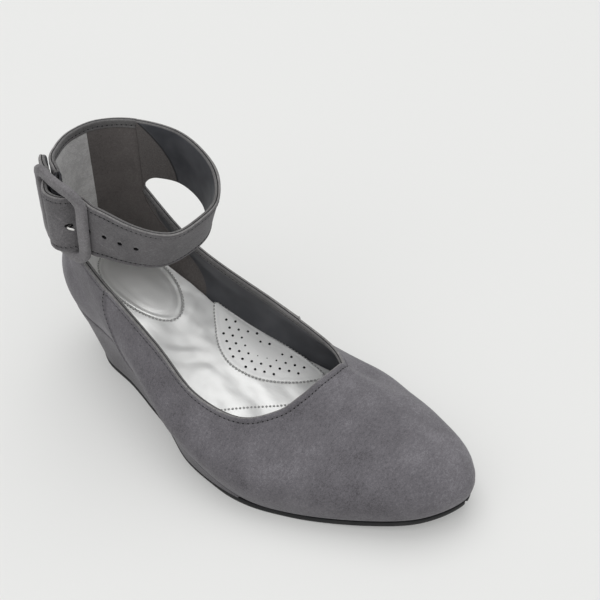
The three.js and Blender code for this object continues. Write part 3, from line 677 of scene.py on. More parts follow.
lining = coated_lining()
strap_cloth = strap_lining()
sock_silver = silver_cloth("sock_silver", 1.0, (0.89, 0.89, 0.875), 0.3)
# The heel pad's silver is darker than the sock's: partly for its printed lettering, which is not drawn, and
# partly painted shade for the strap's shadow.
heel_silver_lettering_and_shade = silver_cloth("heel_silver_lettering_and_shade", 0.35, (0.78, 0.78, 0.765), 0.6)
# The arch pad's silver is near white and hardly metal: painted light that lifts it out of the shade of the
# inner wall.
arch_silver_painted_lit = silver_cloth("arch_silver_painted_lit", 0.35, (0.97, 0.97, 0.955), 0.05)
rubber = black_rubber()
nickel = nickel_wire()
grey_thread = thread("grey_thread", (0.15, 0.145, 0.15), (0.075, 0.072, 0.075))
silver_thread = thread("silver_thread", (0.56, 0.56, 0.55), (0.32, 0.32, 0.315))
# The near-black finish is painted shade: it fills needle holes, punched hole walls, the arch pad's
# perforations and the grooves of the rolled edges.
painted_recess_shade = thread("painted_recess_shade", (0.012, 0.012, 0.013), (0.006, 0.006, 0.007))
elastic_finish = elastic_cloth()


# %% [markdown]
# The upper is one curved wall: vamp, quarters and the counter that rises to the collar. It is drawn as a
# grid. A column runs up the wall from the feather edge, and the rows near the cut edge are a fraction of a
# millimetre apart, because the stitch groove and the folded edge live there. Two columns stand almost on
# each other where a quarter overlaps the vamp, and follow that seam's slant, so the step has a crisp edge.

# %% The upper's grid
outer_seam_row, inner_seam_row = 4.3, 14.65
seam_slant = 0.55
edge_distances = np.array([7.0, 6.0, 5.0, 4.2, 3.6, 3.2, 2.9, 2.6, 2.3, 2.0, 1.6, 1.2, 0.8, 0.4, 0.0])
stitch_distance = 2.6
lower_rows, turn_rows, collar_rows = 30, 5, 18
turn_flat = lasting_margin - feather_radius


def column_places():
    near = np.array([-0.09, -0.03, -0.004, 0.004, 0.03, 0.09])
    places = np.concatenate([np.arange(0, STATIONS, 1 / 16), outer_seam_row + near, inner_seam_row + near])
    return np.unique(np.round(places, 5))


columns = column_places()


def slanted(t, s):
    """Moves a column forward or back low on the wall, so that it runs along its seam."""
    shift = -seam_slant * (1 - np.asarray(s, float) ** 1.5)
    near_outer = bell(t - outer_seam_row, 0.8) * smooth_step(t, OUTER_CORNER, OUTER_CORNER + 0.8)
    near_inner = bell(t - inner_seam_row, 0.8)
    return t + shift * near_outer - shift * near_inner


def turned_edge(t, s):
    """The turn under the foot: s runs from the margin's inner edge, 0, to the wall, 1."""
    walked = np.asarray(s, float) * (turn_flat + feather_radius * math.pi / 2)
    angle = np.maximum(0, walked - turn_flat) / feather_radius
    inset = lasting_margin - np.minimum(walked, turn_flat) - np.sin(angle) * feather_radius
    p = foot(t) - outward(foot, t) * inset[..., None]
    own = feather_height(-p[..., 1] / shoe_length)
    p[..., 2] = own + (p[..., 2] - own) * s * s + feather_radius * (1 - np.cos(angle))
    return p


def wall_grid(t):
    """Points up the wall of each column, spaced by their distance from the cut edge."""
    s = np.linspace(0, 1, 81)
    dense = wall(slanted(t[:, None], s[None]), s[None])
    steps = np.linalg.norm(np.diff(dense, axis=1), axis=-1)
    walked = np.concatenate([np.zeros((len(t), 1)), np.cumsum(steps, 1)], 1)
    rows = []
    for each, length in zip(walked, walked[:, -1]):
        lower = np.linspace(0, length - edge_distances[0], lower_rows, endpoint=False)
        rows.append(np.interp(np.concatenate([lower, length - edge_distances]), each, s))
    s = np.array(rows)
    return wall(slanted(t[:, None], s), s)


wall_points = wall_grid(columns)
turn_shares = np.linspace(0, 1, turn_rows, endpoint=False)
turn_columns = slanted(columns, 0.0)
turn_points = turned_edge(turn_columns[:, None] + 0 * turn_shares[None],
                          turn_shares[None] + 0 * columns[:, None])
main_points = np.concatenate([turn_points, wall_points], 1)
main_rows = main_points.shape[1]
stitch_row = main_rows - len(edge_distances) + int(np.argmin(abs(edge_distances - stitch_distance)))

collar_columns = np.concatenate([np.flatnonzero(columns >= INNER_CORNER),
                                 np.flatnonzero(columns <= OUTER_CORNER)])
collar_height = strap_width * (1 - collar_base)
collar_drops = np.concatenate([np.linspace(collar_height, 6.0, collar_rows)[1:],
                               [5, 4.4, 4, 3.6, 3, 2.6, 2, 1.3, 0.6, 0]])
collar_levels = 1 - collar_drops / strap_width
collar_share = ((columns[collar_columns] - INNER_CORNER) % STATIONS) / back_rows
collar_points = ankle(INNER_SEAM + collar_share[:, None] * back_seams, collar_levels[None])
print(f"{len(columns)} columns of {main_rows} points, collar {collar_points.shape[:2]}")

# %% [markdown]
# The wall's outer face is then moved by small amounts along its normal: the quarters lie half a millimetre
# proud of the vamp, the edge has a stitched groove and a soft roll, and a few creases are placed where a
# foot bends the shoe. The inner face is the same grid, a wall's thickness further in, with the strip of
# suede that faces the collar and the ridge of the counter's stiffener.

# %% Creases, grooves and the two faces
def at_wall(t, s):
    return wall(np.array(t, float), np.array(s, float))


# station and share of the wall at both ends, width and depth in millimetres
UPPER_CREASES = [
    (6.2, 0.25, 7.1, 0.95, 7.0, -0.55),
    (7.4, 0.2, 8.1, 0.9, 8.0, 0.45),
    (5.2, 0.2, 5.7, 0.85, 6.0, -0.5),
    (12.8, 0.3, 12.6, 0.95, 8.0, -0.5),
    (13.8, 0.2, 13.5, 0.8, 7.0, 0.4),
    (3.4, 0.75, 4.6, 0.35, 6.0, -0.6),
    (16.6, 0.75, 15.6, 0.35, 6.0, -0.6),
    (1.2, 0.9, 2.6, 0.72, 5.0, -0.5),
    (18.8, 0.9, 17.4, 0.72, 5.0, -0.5),
    (9.2, 0.35, 10.8, 0.4, 9.0, 0.35),
]


def outer_relief():
    """How far the outer face stands off the last's form, in millimetres, over the main grid."""
    height = np.zeros(main_points.shape[:2])
    for t0, s0, t1, s1, width, depth in UPPER_CREASES:
        height += depth * crease(main_points, at_wall(t0, s0), at_wall(t1, s1), width)
    side = np.where(columns < 10, outer_seam_row - columns, columns - inner_seam_row)
    quarter = (side > 0) * np.exp(-np.maximum(side, 0) / 0.9) * 0.55
    height += quarter[:, None] * smooth_step(np.arange(main_rows), turn_rows, turn_rows + 4)[None]
    cut = (columns >= OUTER_CORNER) & (columns <= INNER_CORNER)
    distance = np.full(main_rows, 40.0)
    distance[-len(edge_distances):] = edge_distances
    groove = -0.32 * bell(distance - stitch_distance, 0.55) + 0.18 * bell(distance - 1.1, 0.9)
    return height + np.where(cut[:, None], groove[None], 0)


grid_size = main_points.shape[0] * main_rows
main_index = np.arange(grid_size).reshape(main_points.shape[:2])
collar_index = np.concatenate([
    main_index[collar_columns, -1][:, None],
    grid_size + np.arange(collar_points.shape[0] * collar_points.shape[1]).reshape(collar_points.shape[:2]),
], 1)


def cells(index, wrap):
    """The faces of a grid of point numbers, seen from outside the wall."""
    a = index if wrap else index[:-1]
    b = np.roll(index, -1, 0) if wrap else index[1:]
    return np.stack([a[:, :-1], b[:, :-1], b[:, 1:], a[:, 1:]], -1).reshape(-1, 4)


sheet_points = np.vstack([main_points.reshape(-1, 3), collar_points.reshape(-1, 3)])
main_cells, collar_cells = cells(main_index, True), cells(collar_index, False)
sheet_cells = np.vstack([main_cells, collar_cells])
sheet_normals = vertex_normals(sheet_points, sheet_cells)
collar_groove = -0.3 * bell(collar_drops - 3.0, 0.5) + 0.15 * bell(collar_drops - 1.2, 0.9)
relief = np.concatenate([
    outer_relief().ravel(),
    np.broadcast_to(collar_groove, collar_points.shape[:2]).ravel(),
])
outer_face = sheet_points + sheet_normals * relief[:, None]

facing_width = 4.0
patch_start = 19.2
counter_ridge = [ankle(10.5, 0.8), ankle(10.0, -0.05)]


def inner_depth():
    """How far the inner face lies behind the last's form."""
    depth = np.full(len(sheet_points), wall_thickness)
    drops = np.broadcast_to(collar_drops, collar_points.shape[:2]).ravel()
    facing = 0.35 * (1 - smooth_step(drops, facing_width - 0.1, facing_width + 0.3))
    facing -= 0.25 * bell(drops - 2.6, 0.5)
    depth[grid_size:] += facing
    edge = np.full(main_rows, 40.0)
    edge[-len(edge_distances):] = edge_distances
    cut = (columns >= OUTER_CORNER) & (columns <= INNER_CORNER)
    strip = 0.35 * (1 - smooth_step(edge, 3.1, 3.4)) - 0.25 * bell(edge - 2.3, 0.5)
    depth[:grid_size] += np.where(cut[:, None], strip[None], 0).ravel()
    depth += 0.45 * crease(sheet_points, counter_ridge[0], counter_ridge[1], 1.6)
    return depth


inner_face = sheet_points - sheet_normals * inner_depth()[:, None]
print(f"outer relief {relief.min():.2f} to {relief.max():.2f} mm")

# %% [markdown]
# The two faces are joined at the cut edge by a rolled rim. On the real shoe the suede and the lining are
# each folded over and sewn back to back, so the rim is two small rounds with a groove between them. The
# groove's faces are painted near-black, as painted shade.

# %% Rim and the finished upper
first, last = np.searchsorted(columns, OUTER_CORNER), np.searchsorted(columns, INNER_CORNER)
rim_route = np.concatenate([
    main_index[first:last + 1, -1],
    collar_index[0, 1:],
    collar_index[1:, -1],
    collar_index[-1, 1:-1][::-1],
])
RIM = [(0.10, 0.30), (0.28, 0.52), (0.42, 0.38), (0.50, 0.02), (0.58, 0.34), (0.72, 0.46), (0.90, 0.26)]


def rolled_rim(outer, inner, shape=RIM, sign=1.0):
    """Loops between the outer and the inner edge, standing off them by the heights in shape."""
    along = unit(np.roll(outer, -1, 0) - np.roll(outer, 1, 0))
    off = unit(np.cross(along, outer - inner)) * sign
    return [outer + (inner - outer) * share + off * height for share, height in shape]


def upper_shell():
    count = len(sheet_points)
    outer, inner = outer_face[rim_route], inner_face[rim_route]
    loops = rolled_rim(outer, inner)
    towards_edge = outer_face[rim_route[5]] - outer_face[rim_route[5] - 1]
    if np.dot(loops[1][5] - outer[5], towards_edge) < 0:
        loops = rolled_rim(outer, inner, sign=-1.0)
    vertices = np.vstack([outer_face, inner_face, *loops])
    rim = np.vstack([rim_route, 2 * count + np.arange(len(loops) * len(rim_route)).reshape(len(loops), -1),
                     rim_route + count])
    rim_cells = np.stack([rim[:-1], rim[1:], np.roll(rim[1:], -1, 1), np.roll(rim[:-1], -1, 1)], -1)
    foot_edge = np.stack([main_index[:, 0], np.roll(main_index[:, 0], -1)])
    foot_cells = np.stack([foot_edge[1], foot_edge[0], foot_edge[0] + count, foot_edge[1] + count], -1)
    faces = np.vstack([sheet_cells, sheet_cells[:, ::-1] + count, rim_cells.reshape(-1, 4), foot_cells])

    middle = columns + 0.03
    back_columns = (middle > INNER_CORNER - 0.3) | (middle < OUTER_CORNER + 0.6)
    patch_columns = (middle > patch_start) | (middle < OUTER_CORNER + 0.6)
    # Kind 4 is the patch suede, painted lighter as painted light.
    inner_main = np.where(patch_columns, 4, np.where(back_columns, 2, 1))[:, None]
    inner_main = inner_main * np.ones((1, main_rows - 1), int)
    cut = (middle > OUTER_CORNER) & (middle < INNER_CORNER)
    inner_main[cut, -int((edge_distances < 3.3).sum()):] = 3
    collar_middle = (columns[collar_columns][:-1] + 0.03) % STATIONS
    inner_collar = np.full((len(collar_middle), collar_points.shape[1]), 2)
    inner_collar[(collar_middle < OUTER_CORNER) | (collar_middle > patch_start)] = 4
    inner_collar[:, -int((collar_drops < facing_width).sum()):] = 3
    # Finish 6 paints the groove between the rim's two rounds near-black: painted shade.
    rim_kinds = np.repeat([5, 5, 5, 6, 6, 3, 3, 3], len(rim_route))
    kinds = np.concatenate([
        np.zeros(len(sheet_cells), int), inner_main.ravel(), inner_collar.ravel(), rim_kinds,
        np.zeros(len(foot_cells), int),
    ])
    finishes = [suede_grey, lining, suede_counter, suede_facing, suede_patch_painted_lit, suede_edge, painted_recess_shade]
    return face_outwards(make_piece("upper_suede", vertices, faces, finishes, kinds))


upper = upper_shell()
belongs(upper, "suede", "upper")

# %% [markdown]
# Stitches, needle holes and the little loops round the sock's pads all repeat along a path. One Geometry
# Nodes tree makes them all: it walks a path at an even pitch and sets a small stretched bead at each step,
# turned along the path and flat on the surface. The path's points carry the surface's direction in an
# attribute named out. The tree ends with real meshes, because instances are lost in an export.

# %% A tree that sews beads along a path
def sewing_tree():
    tree = bpy.data.node_groups.new("beads_along_path", "GeometryNodeTree")
    inputs = {}
    for name, kind in (("Path", "Geometry"), ("Pitch", "Float"), ("Size", "Vector"), ("Offset", "Vector"),
                       ("Finish", "Material")):
        socket = tree.interface.new_socket(name, in_out="INPUT", socket_type=f"NodeSocket{kind}")
        inputs[name] = socket.identifier
    tree.interface.new_socket("Beads", in_out="OUTPUT", socket_type="NodeSocketGeometry")

    def node(kind, settings, **links):
        made = tree.nodes.new(kind)
        for name, value in settings.items():
            setattr(made, name, value)
        for name, value in links.items():
            socket = made.inputs[name.replace("_", " ")]
            if isinstance(value, bpy.types.NodeSocket):
                tree.links.new(value, socket)
            else:
                socket.default_value = value
        return made

    given = tree.nodes.new("NodeGroupInput").outputs
    curve = node("GeometryNodeMeshToCurve", {}, Mesh=given["Path"])
    walk = node("GeometryNodeResampleCurve", {"mode": "LENGTH"}, Curve=curve.outputs[0],
                Length=given["Pitch"])
    out = node("GeometryNodeInputNamedAttribute", {"data_type": "FLOAT_VECTOR"}, Name="out")
    tangent = node("GeometryNodeInputTangent", {})
    axes = {"primary_axis": "Z", "secondary_axis": "X"}
    turn_to = node("FunctionNodeAxesToRotation", axes, Primary_Axis=out.outputs["Attribute"],
                   Secondary_Axis=tangent.outputs[0])
    bead = node("GeometryNodeMeshUVSphere", {}, Segments=8, Rings=5, Radius=1.0)
    shaped = node("GeometryNodeTransform", {}, Geometry=bead.outputs["Mesh"], Scale=given["Size"],
                  Translation=given["Offset"])
    placed = node("GeometryNodeInstanceOnPoints", {}, Points=walk.outputs[0], Instance=shaped.outputs[0],
                  Rotation=turn_to.outputs[0])
    smooth = node("GeometryNodeSetShadeSmooth", {}, Geometry=placed.outputs[0])
    real = node("GeometryNodeRealizeInstances", {}, Geometry=smooth.outputs[0])
    finished = node("GeometryNodeSetMaterial", {}, Geometry=real.outputs[0], Material=given["Finish"])
    output = tree.nodes.new("NodeGroupOutput")
    tree.links.new(finished.outputs[0], output.inputs[0])
    return tree, inputs


bead_tree, bead_inputs = sewing_tree()


def sew(name, paths, pitch, size, offset, finish, slot):
    """Beads along paths. A path is its points, the surface's direction at them, and whether it is closed.
    Sizes and offsets are in millimetres: along the path, across it, and out of the surface."""
    vertices, directions, edges = [], [], []
    for route, out, closed in paths:
        start = len(vertices)
        vertices += list((np.asarray(route) + SHIFT) * MM)
        directions += list(np.asarray(out))
        count = len(route)
        edges += [(start + i, start + (i + 1) % count) for i in range(count if closed else count - 1)]
    mesh = bpy.data.meshes.new(name + "_path")
    mesh.from_pydata(vertices, edges, [])
    attribute = mesh.attributes.new("out", "FLOAT_VECTOR", "POINT")
    attribute.data.foreach_set("vector", np.array(directions, float).ravel())
    path = bpy.data.objects.new(name + "_path", mesh)
    bpy.context.scene.collection.objects.link(path)
    modifier = path.modifiers.new("beads", "NODES")
    modifier.node_group = bead_tree
    modifier[bead_inputs["Pitch"]] = pitch * MM
    modifier[bead_inputs["Size"]] = [part * MM for part in size]
    modifier[bead_inputs["Offset"]] = [part * MM for part in offset]
    modifier[bead_inputs["Finish"]] = finish
    seen = path.evaluated_get(bpy.context.evaluated_depsgraph_get())
    beads = bpy.data.objects.new(name, bpy.data.meshes.new_from_object(seen))
    bpy.context.scene.collection.objects.link(beads)
    bpy.data.objects.remove(path)
    belongs(beads, slot)
    return beads


# %% Stitches of the upper
stitch_pitch = 2.3
thread_size = (0.8, 0.24, 0.2)
needle_size = (0.55, 0.45, 0.14)


def sheet_route(numbers, face, sign=1.0):
    return face[numbers], sheet_normals[numbers] * sign


edge_route = main_index[first:last + 1, stitch_row]
seam_paths = []
for seam, side in ((outer_seam_row, -1), (inner_seam_row, 1)):
    number = int(np.argmin(abs(columns - (seam + side * 0.03))))
    seam_paths.append((*sheet_route(main_index[number, turn_rows + 3:-3], outer_face), False))
collar_stitch = collar_index[:, 1 + int(np.argmin(abs(collar_drops - 3.0)))]
collar_inner = collar_index[:, 1 + int(np.argmin(abs(collar_drops - 2.6)))]
facing_row = main_rows - len(edge_distances) + int(np.argmin(abs(edge_distances - 2.3)))
inner_edge = main_index[first:last + 1, facing_row]
upper_paths = [
    (*sheet_route(edge_route, outer_face), False),
    (*sheet_route(collar_stitch, outer_face), False),
    (*sheet_route(collar_inner, inner_face, -1.0), False),
    (*sheet_route(inner_edge, inner_face, -1.0), False),
]
half_pitch = stitch_pitch / 2
sew("upper_thread", upper_paths + seam_paths, stitch_pitch, thread_size, (half_pitch, 0, 0.02),
    grey_thread, "suede")
# The needle holes are near-black beads between the stitches: painted shade for the holes.
sew("upper_needle_holes", upper_paths + seam_paths, stitch_pitch, needle_size, (0, 0, 0.0),
    painted_recess_shade, "suede")


# %% [markdown]
# The ankle strap is a band of suede backed with lining, folded at both long edges and stitched near them.
# It follows a loop round the ankle, but near the buckle it lifts off that loop: under the front bar it lies
# flat, over the middle bar it bulges, and under the back bar it goes down again. Distances along the strap
# are measured from the buckle's middle bar, so everything on it, such as its holes, has an honest size.

# %% Distances round the ankle
tail_length, short_strap_end = 14.0, 11.0
hole_diameter, hole_pitch, hole_count, first_hole = 2.4, 8.0, 5, 7.0
buckle_length, buckle_margin, buckle_corner = 27.0, 3.7, 6.0
bar_width, bar_thickness, middle_bar = 5.8, 3.8, 2.8
prong_diameter, elastic_thickness = 1.3, 1.1

STRAP_LIFT = table("at lift", [
    (-2.2, 2.2), (-1.6, 1.62), (-1.25, 1.5), (-0.8, 1.5), (-0.42, 2.8), (0.0, 3.6), (0.38, 2.7), (0.72, 0.5),
    (1.25, 0.4), (1.7, 0.1), (2.2, 0.0), (30.0, 0.0),
])
lift_share = profile(STRAP_LIFT["at"], STRAP_LIFT["lift"])
loop_rows = np.linspace(BUCKLE_ROW - LOOP_ROWS / 2, BUCKLE_ROW + LOOP_ROWS, 2401)
loop_middle = ankle(loop_rows, 0.5)
loop_walked = np.concatenate([[0], np.cumsum(np.linalg.norm(np.diff(loop_middle, axis=0), axis=1))])
loop_walked -= np.interp(BUCKLE_ROW, loop_rows, loop_walked)
half_strap, half_buckle = strap_width / 2, buckle_length / 2


def row_at(distance):
    return np.interp(distance, loop_walked, loop_rows)


def distance_of(row):
    return float(np.interp(row, loop_rows, loop_walked))


def lift_at(distance):
    return strap_thickness * lift_share(np.asarray(distance, float) / half_buckle)


def off_loop(distance, height, stand_off):
    """A point by its distance round the loop, its height above the strap's middle and its stand-off."""
    given = [np.asarray(v, float) for v in (distance, height, stand_off)]
    distance, height, stand_off = np.broadcast_arrays(*given)
    row = row_at(distance)
    out = outward(lambda t: ankle(t, 0.5), row)
    return ankle(row, 0.5 + height / strap_width) + out * stand_off[..., None]


def out_of_loop(distance):
    return outward(lambda t: ankle(t, 0.5), row_at(np.asarray(distance, float)))


tail_end = -(half_buckle + tail_length)
inner_seam = distance_of(INNER_SEAM) - 0.1
outer_seam = distance_of(OUTER_SEAM) + 0.1
print(f"strap {inner_seam - tail_end:.0f} mm long, from its tip to the inner seam")

# %% [markdown]
# The band's section is a list of points once round it, so the rolled edges and the stitch grooves are part
# of the mesh. Soft waves along the strap come from a few named places where it bends.

# %% Ankle strap and short strap
edge_stitch = 2.6
section_heights = np.array([-1, -0.985, -0.95, -0.90, -0.87, -0.842, -0.815, -0.77, -0.6, -0.4, -0.2, 0,
                            0.2, 0.4, 0.6, 0.77, 0.815, 0.842, 0.87, 0.90, 0.95, 0.985, 1])
EDGE_ROLL = [(0.12, 0.30), (0.28, 0.42), (0.42, 0.28), (0.5, -0.12), (0.58, 0.24), (0.74, 0.38), (0.9, 0.26)]
# place along the strap, width along it and depth, in millimetres
STRAP_WAVES = [(24, 7, -0.35), (52, 9, 0.3), (88, 10, -0.45), (104, 7, 0.35), (126, 9, -0.4), (-9, 5, 0.2)]


def strap_section(distance, stand_off, low, high):
    """Points once round the band: the outer face upwards, its top edge, the inner face down, its low edge."""
    middle, half_width = (low + high) / 2, (high - low) / 2
    heights = middle + half_width * section_heights
    from_edge = half_width * (1 - abs(section_heights))
    face = -0.3 * bell(from_edge - edge_stitch, 0.5) + 0.16 * bell(from_edge - 1.2, 0.9)
    face = face - 0.2 * bell(from_edge, 0.35)
    for place, width, depth in STRAP_WAVES:
        face = face + depth * bell(distance - place, width) * (1 - 0.5 * section_heights ** 2)
    upper_edge = [(high + roll, -strap_thickness * share) for share, roll in EDGE_ROLL]
    lower_edge = [(low - roll, -strap_thickness * share) for share, roll in EDGE_ROLL[::-1]]
    inner = list(zip(heights[::-2], np.full(len(heights[::-2]), -strap_thickness)))
    ring = [*zip(heights, face), *upper_edge, *inner, *lower_edge]
    return off_loop(distance, [h for h, _ in ring], [stand_off + d for _, d in ring])


def corner_cut(away, radius=corner_radius):
    share = np.maximum(0, 1 - np.asarray(away, float) / radius)
    return radius * (1 - np.sqrt(1 - share ** 2))


def strap_stops(start, end, step, near):
    main = np.linspace(start, end, int(abs(end - start) / step))
    return np.unique(np.concatenate([main, near]))


ends = np.array([0.15, 0.4, 0.8, 1.3, 2.0, 2.8, 3.6, 4.4])
# Kind 2 paints the groove between the two rolled folds of each edge near-black: painted shade.
strap_kinds = [0] * (len(section_heights) - 1) + [1] * 3 + [2] * 2 + [3] * 3
strap_kinds += [4] * (len(section_heights[::-2]) - 1)
strap_kinds += [3] * 3 + [2] * 2 + [1] * 3


def band(name, rings, lining_finish):
    size = len(rings[0])
    vertices = np.vstack(rings)
    faces = list(grid_faces(len(rings), size, closed_columns=True))
    kinds = np.tile(strap_kinds, (len(rings) - 1, 1))
    kinds = kinds.ravel().tolist()
    for ring in (0, len(rings) - 1):
        middle = len(vertices)
        vertices = np.vstack([vertices, rings[ring].mean(0)])
        faces += [(ring * size + j, ring * size + (j + 1) % size, middle) for j in range(size)]
        kinds += [1] * size
    finishes = [suede_strap, suede_edge, painted_recess_shade, suede_facing, lining_finish]
    return face_outwards(make_piece(name, vertices, faces, finishes, kinds))


strap_stops_list = strap_stops(tail_end, inner_seam, 1.1,
                               np.concatenate([tail_end + ends, inner_seam - ends]))
strap_rings = [
    strap_section(d, lift_at(d), 0.8 * corner_cut(d - tail_end) - half_strap - corner_cut(inner_seam - d),
                  half_strap - 0.8 * corner_cut(d - tail_end))
    for d in strap_stops_list
]
ankle_band = band("ankle_strap_suede", strap_rings, strap_cloth)


def mark_counter_side(piece, seam_reach=20.0):
    """Keeps on each point how far it lies past the lining's seam, which curves down and forward."""
    edge = np.ones(len(EDGE_ROLL))
    around = np.concatenate([section_heights, edge, section_heights[::-2], -edge])
    seam = inner_seam - 1.0 - seam_reach * (1 - ((1 + around) / 2) ** 1.6)
    side = (strap_stops_list[:, None] - seam[None]).ravel()
    side = np.concatenate([side, np.zeros(len(piece.data.vertices) - len(side))])
    mark = piece.data.attributes.new("counter_side", "FLOAT", "POINT")
    mark.data.foreach_set("value", side.astype(np.float32))


mark_counter_side(ankle_band)

short_rings = [
    strap_section(d, 0.0, -half_strap - corner_cut(d - outer_seam), half_strap)
    for d in strap_stops(outer_seam, -short_strap_end, 1.0, outer_seam + ends)
]
buckle_band = band("buckle_strap_suede", short_rings, suede_strap)
belongs(buckle_band, "suede", "buckle_strap")

# %% [markdown]
# The five holes are punched right through, with a Boolean modifier that is applied at once. The walls of
# each hole take the near-black finish, painted shade for the inside of the hole, which shows as a small ring.

# %% Punched holes
def punch_holes(piece, finish):
    tool = bmesh.new()
    for i in range(hole_count):
        distance = first_hole + i * hole_pitch
        middle = lift_at(distance) - strap_thickness / 2
        centre = (off_loop(distance, 0, middle) + SHIFT) * MM
        turned = Vector(out_of_loop(distance)).to_track_quat("Z", "Y").to_matrix().to_4x4()
        hole_radius = hole_diameter / 2 * MM
        bmesh.ops.create_cone(tool, segments=20, radius1=hole_radius, radius2=hole_radius,
                              depth=strap_thickness * 4 * MM, cap_ends=True,
                              matrix=Matrix.Translation(Vector(centre)) @ turned)
    mesh = bpy.data.meshes.new("punch")
    tool.to_mesh(mesh)
    tool.free()
    mesh.materials.append(finish)
    cutter = bpy.data.objects.new("punch", mesh)
    bpy.context.scene.collection.objects.link(cutter)
    modifier = piece.modifiers.new("holes", "BOOLEAN")
    modifier.object, modifier.operation, modifier.solver = cutter, "DIFFERENCE", "EXACT"
    modifier.material_mode = "TRANSFER"
    seen = piece.evaluated_get(bpy.context.evaluated_depsgraph_get())
    piece.modifiers.clear()
    done = bpy.data.meshes.new_from_object(seen)
    piece.data = done
    bpy.data.objects.remove(cutter)


punch_holes(ankle_band, painted_recess_shade)
belongs(ankle_band, "suede", "ankle_strap")

strap_walk = np.arange(tail_end + 3, inner_seam - 0.5, 1.5)
out_dirs = out_of_loop(strap_walk)


def strap_route(walk, height, depth):
    return off_loop(walk, height, lift_at(walk) + depth)


line = half_strap - edge_stitch
strap_paths = [
    (strap_route(strap_walk, line, -0.22), out_dirs, False),
    (strap_route(strap_walk, -line, -0.22), out_dirs, False),
    (off_loop(np.full(15, tail_end + 2.6), np.linspace(-line + 2, line - 2, 15),
              float(lift_at(tail_end + 2.6)) - 0.1),
     np.repeat(out_of_loop([tail_end + 2.6]), 15, 0), False),
]
sew("strap_thread", strap_paths, stitch_pitch, thread_size, (half_pitch, 0, 0.02), grey_thread, "suede")
# The needle holes are near-black beads between the stitches: painted shade for the holes.
sew("strap_needle_holes", strap_paths, stitch_pitch, needle_size, (0, 0, 0), painted_recess_shade, "suede")

# %% [markdown]
# The buckle is a wire frame wrapped in the same suede. Its four bars are thick and soft-edged, and it bows
# with the ankle. One sweep along a rounded rectangle makes the frame. The middle bar and the prong are made
# with the same sweep, from sections of their own; the elastic's rings are laid along its own route.

# %% Buckle, prong and elastic
half_frame = half_strap + buckle_margin
front_stand = float(lift_at(half_buckle)) + joint_gap + bar_thickness / 2
back_stand = float(lift_at(-half_buckle)) + joint_gap + bar_thickness / 2


def frame_stand(distance):
    return back_stand + (front_stand - back_stand) * (distance + half_buckle) / buckle_length


middle_stand = frame_stand(0.0) - 1.0


def sweep(path, section, closed=False):
    """Rings along a path of (distance, height, stand-off), with a section of (across, out) points."""
    path = np.asarray(path, float)
    where = off_loop(*path.T)
    if closed:
        along = unit(np.roll(where, -1, 0) - np.roll(where, 1, 0))
    else:
        along = unit(np.gradient(where, axis=0))
    out = unit(off_loop(path[:, 0], path[:, 1], path[:, 2] + 1) - where)
    side = unit(np.cross(along, out))
    face = unit(np.cross(side, along))
    section = np.asarray(section)
    return where[:, None] + side[:, None] * section[None, :, :1] + face[:, None] * section[None, :, 1:]


def round_section(diameter, corners):
    angles = np.linspace(0, 2 * np.pi, corners, endpoint=False)
    return np.stack([np.cos(angles), np.sin(angles)], 1) * diameter / 2


def soft_section(width, thickness, corners=24, power=0.62):
    """A rectangle with well rounded edges."""
    angles = np.linspace(0, 2 * np.pi, corners, endpoint=False)
    c, s = np.cos(angles), np.sin(angles)
    across, through = np.sign(c) * abs(c) ** power, np.sign(s) * abs(s) ** power
    return np.stack([across * width / 2, through * thickness / 2], 1)


def frame_route():
    path = []
    x, z = half_buckle - buckle_corner, half_frame - buckle_corner
    steps = np.linspace(-1, 1, 13)[1:-1]
    for sx, sz, start in ((1, 1, 0), (-1, 1, 90), (-1, -1, 180), (1, -1, 270)):
        for angle in np.radians(start + np.linspace(0, 90, 9)):
            path.append((sx * x + math.cos(angle) * buckle_corner, sz * z + math.sin(angle) * buckle_corner))
        if start in (0, 180):
            path += [(-sx * step * x, sz * half_frame) for step in steps]
        else:
            path += [(sx * half_buckle, -sz * step * z) for step in steps]
    return [(d, h, frame_stand(d)) for d, h in path]


def covered_frame():
    rings = sweep(frame_route(), soft_section(bar_width, bar_thickness), closed=True)
    i = np.arange(len(rings))[:, None]
    j = np.arange(rings.shape[1])[None]
    pucker = 0.10 * np.sin(i * 1.7) * np.sin(j * 0.9 + i * 0.35) + 0.06 * np.sin(i * 0.61 + j * 1.3)
    rings = rings + unit(rings - rings.mean(1, keepdims=True)) * pucker[..., None]
    # The cover takes the lighter copy of the suede: painted light.
    return loft("buckle_cover", rings, suede_buckle_painted_lit, closed=True)


buckle_cover = covered_frame()
bar_heights = np.linspace(-half_frame, half_frame, 9)
bar_rings = sweep([(0, h, middle_stand) for h in bar_heights], round_section(middle_bar, 16))
middle_piece = loft("buckle_middle_bar", bar_rings, nickel)
belongs(buckle_cover, "suede", "buckle")
belongs(middle_piece, "nickel")


def smooth_route(route, count):
    """A smooth curve through points, evenly stepped."""
    route = np.asarray(route, float)
    rows = np.linspace(0, len(route) - 1, count)
    return np.stack([column(route[:, k], False)(rows) for k in range(route.shape[1])], 1)


def prong_route():
    around = middle_bar / 2 + joint_gap + prong_diameter / 2
    angles = np.radians(75 + 225 * np.arange(9) / 8)
    route = [(math.cos(a) * around, middle_stand + math.sin(a) * around) for a in angles]
    inner, outer = float(lift_at(first_hole)) - strap_thickness, float(lift_at(first_hole))
    route += [(first_hole - 3.4, inner - 2.4), (first_hole - 1.2, inner - 1.5),
              (first_hole - 0.1, inner + 0.6), (first_hole + 0.1, outer + 0.5),
              (first_hole + 1.3, outer + 0.9), (first_hole + 3.2, outer - 0.4)]
    return [(d, 0.0, out) for d, out in smooth_route(route, 70)]


prong = loft("prong_wire", sweep(prong_route(), round_section(prong_diameter, 12)), nickel)
belongs(prong, "nickel", "prong")

elastic_round = middle_bar / 2 + joint_gap + elastic_thickness / 2
ply_apart, ply_middle = elastic_thickness + joint_gap, -strap_thickness / 2
elastic_start = -short_strap_end + joint_gap
elastic_width, rib_count = strap_width - 2, 15


